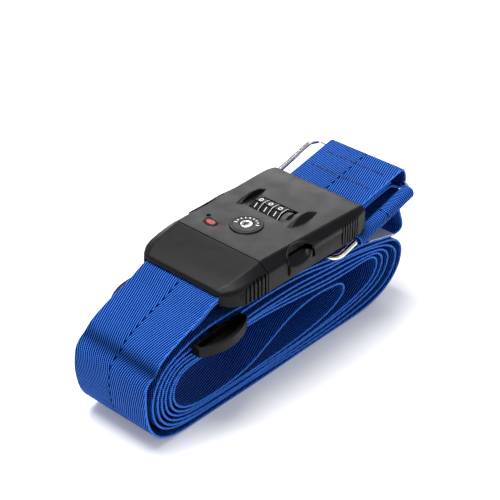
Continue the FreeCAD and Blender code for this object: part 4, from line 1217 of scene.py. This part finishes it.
def key_face():
    """The key plug with a teardrop keyhole, and near-black pieces that fill the hole almost to its top as
    painted shade.
    """
    profile = [(0.0, 64.7), (3.35, 64.7), (3.35, 76.98), (3.2, 77.14), (3.0, 77.2), (0.0, 77.2)]
    plug = turned("key_plug_body", profile)

    def round_part(name, radius, low_z, high_z):
        ring = oval(HOLE_AT, radius, radius, 24)
        return grid_solid(name, [[(x, y, z) for x, y in ring] for z in (low_z, high_z)])

    combine(plug, round_part("keyhole_round", HOLE_RADIUS, 70.0, 78.5), "DIFFERENCE")
    # near-black fills for the round hole and the slot: painted shade inside the keyhole
    hole_shade = round_part("keyhole_painted_shade", HOLE_RADIUS - 0.01, 70.2, 76.7)
    slot_shade = boxes("keyhole_slot_painted_shade", [(KEY_AT[0] - 1.89, KEY_AT[0] - 0.4, -0.24, 0.54, 70.2, 76.72)])
    for dark in (hole_shade, slot_shade):
        finish_piece(dark, "key", "wheel_plastic")
    slot = boxes("keyhole_slot", [(KEY_AT[0] - 1.9, KEY_AT[0] + 0.4, -0.25, 0.55, 70.0, 78.5)])
    return combine(plug, slot, "DIFFERENCE")


finish_piece(key_disc(), "root", "buckle_plastic", "key_disc")
finish_piece(ring_marks(), "root", "grey_plastic", material=WHITE)
finish_piece(key_face(), "key", "key_metal", "key_plug")

MARKER_AT = (10.5, 15.0)


def ovals(name, sizes):
    """A rounded oval piece of the marker, from its half sizes along x and y at each height."""
    rows = [[(x, y, z) for x, y in oval(MARKER_AT, half_x, half_y, 40)] for half_x, half_y, z in sizes]
    return settle(grid_solid(name, rows), 50.0)


# the plain red marker beside the key, in a black rim
red = ovals("marker_red", [(1.9, 3.1, 75.9), (1.9, 3.1, 76.72), (1.75, 2.95, 76.84), (1.5, 2.7, 76.88)])
rim = ovals("marker_rim", [(2.2, 3.7, 75.95), (2.95, 4.4, 76.3), (2.95, 4.4, 76.62), (2.75, 4.2, 76.74),
                           (2.35, 3.75, 76.74), (2.1, 3.4, 76.55), (2.0, 3.25, 76.0)])
finish_piece(red, "root", "red_plastic", "lock_badge")
finish_piece(rim, "root", "wheel_plastic")

# ---------------- floor and light

FLOOR_HALF = 3.0
bpy.ops.mesh.primitive_plane_add(size=2 * FLOOR_HALF, location=(0, 0, 0))
floor = bpy.context.object
floor.name = "floor"
floor_nodes = Nodes("floor")
floor.data.materials.append(floor_nodes.set(Base_Color=(0.93, 0.93, 0.94, 1), Roughness=0.9,
                                            Emission_Color=(1, 1, 1, 1), Emission_Strength=0.15))


def area_light(name, place, target, size, power):
    lamp = bpy.data.objects.new(name, bpy.data.lights.new(name, "AREA"))
    lamp.data.shape = "RECTANGLE"
    lamp.data.size, lamp.data.size_y = size
    lamp.data.energy = power
    lamp.location = place
    lamp.rotation_mode = "QUATERNION"
    lamp.rotation_quaternion = (Vector(target) - Vector(place)).to_track_quat("-Z", "Y")
    bpy.context.scene.collection.objects.link(lamp)


CENTRE = (0.0, 0.0, 0.03)
area_light("key_light", (-0.1, 0.25, 1.25), CENTRE, (0.8, 0.8), 22)
area_light("left_light", (-1.0, 0.2, 0.8), CENTRE, (0.8, 0.8), 0.8)
area_light("front_light", (0.1, -1.3, 0.9), CENTRE, (1.0, 0.8), 2)
area_light("rear_light", (0.9, 0.8, 0.6), (0.08, 0.0, 0.05), (0.5, 0.5), 4.5)

world = bpy.data.worlds.new("studio")
world.use_nodes = True
background = world.node_tree.nodes["Background"].inputs
background["Color"].default_value = (1.0, 1.0, 1.0, 1)
background["Strength"].default_value = 0.36
bpy.context.scene.world = world
bpy.context.scene.view_settings.view_transform = "Standard"
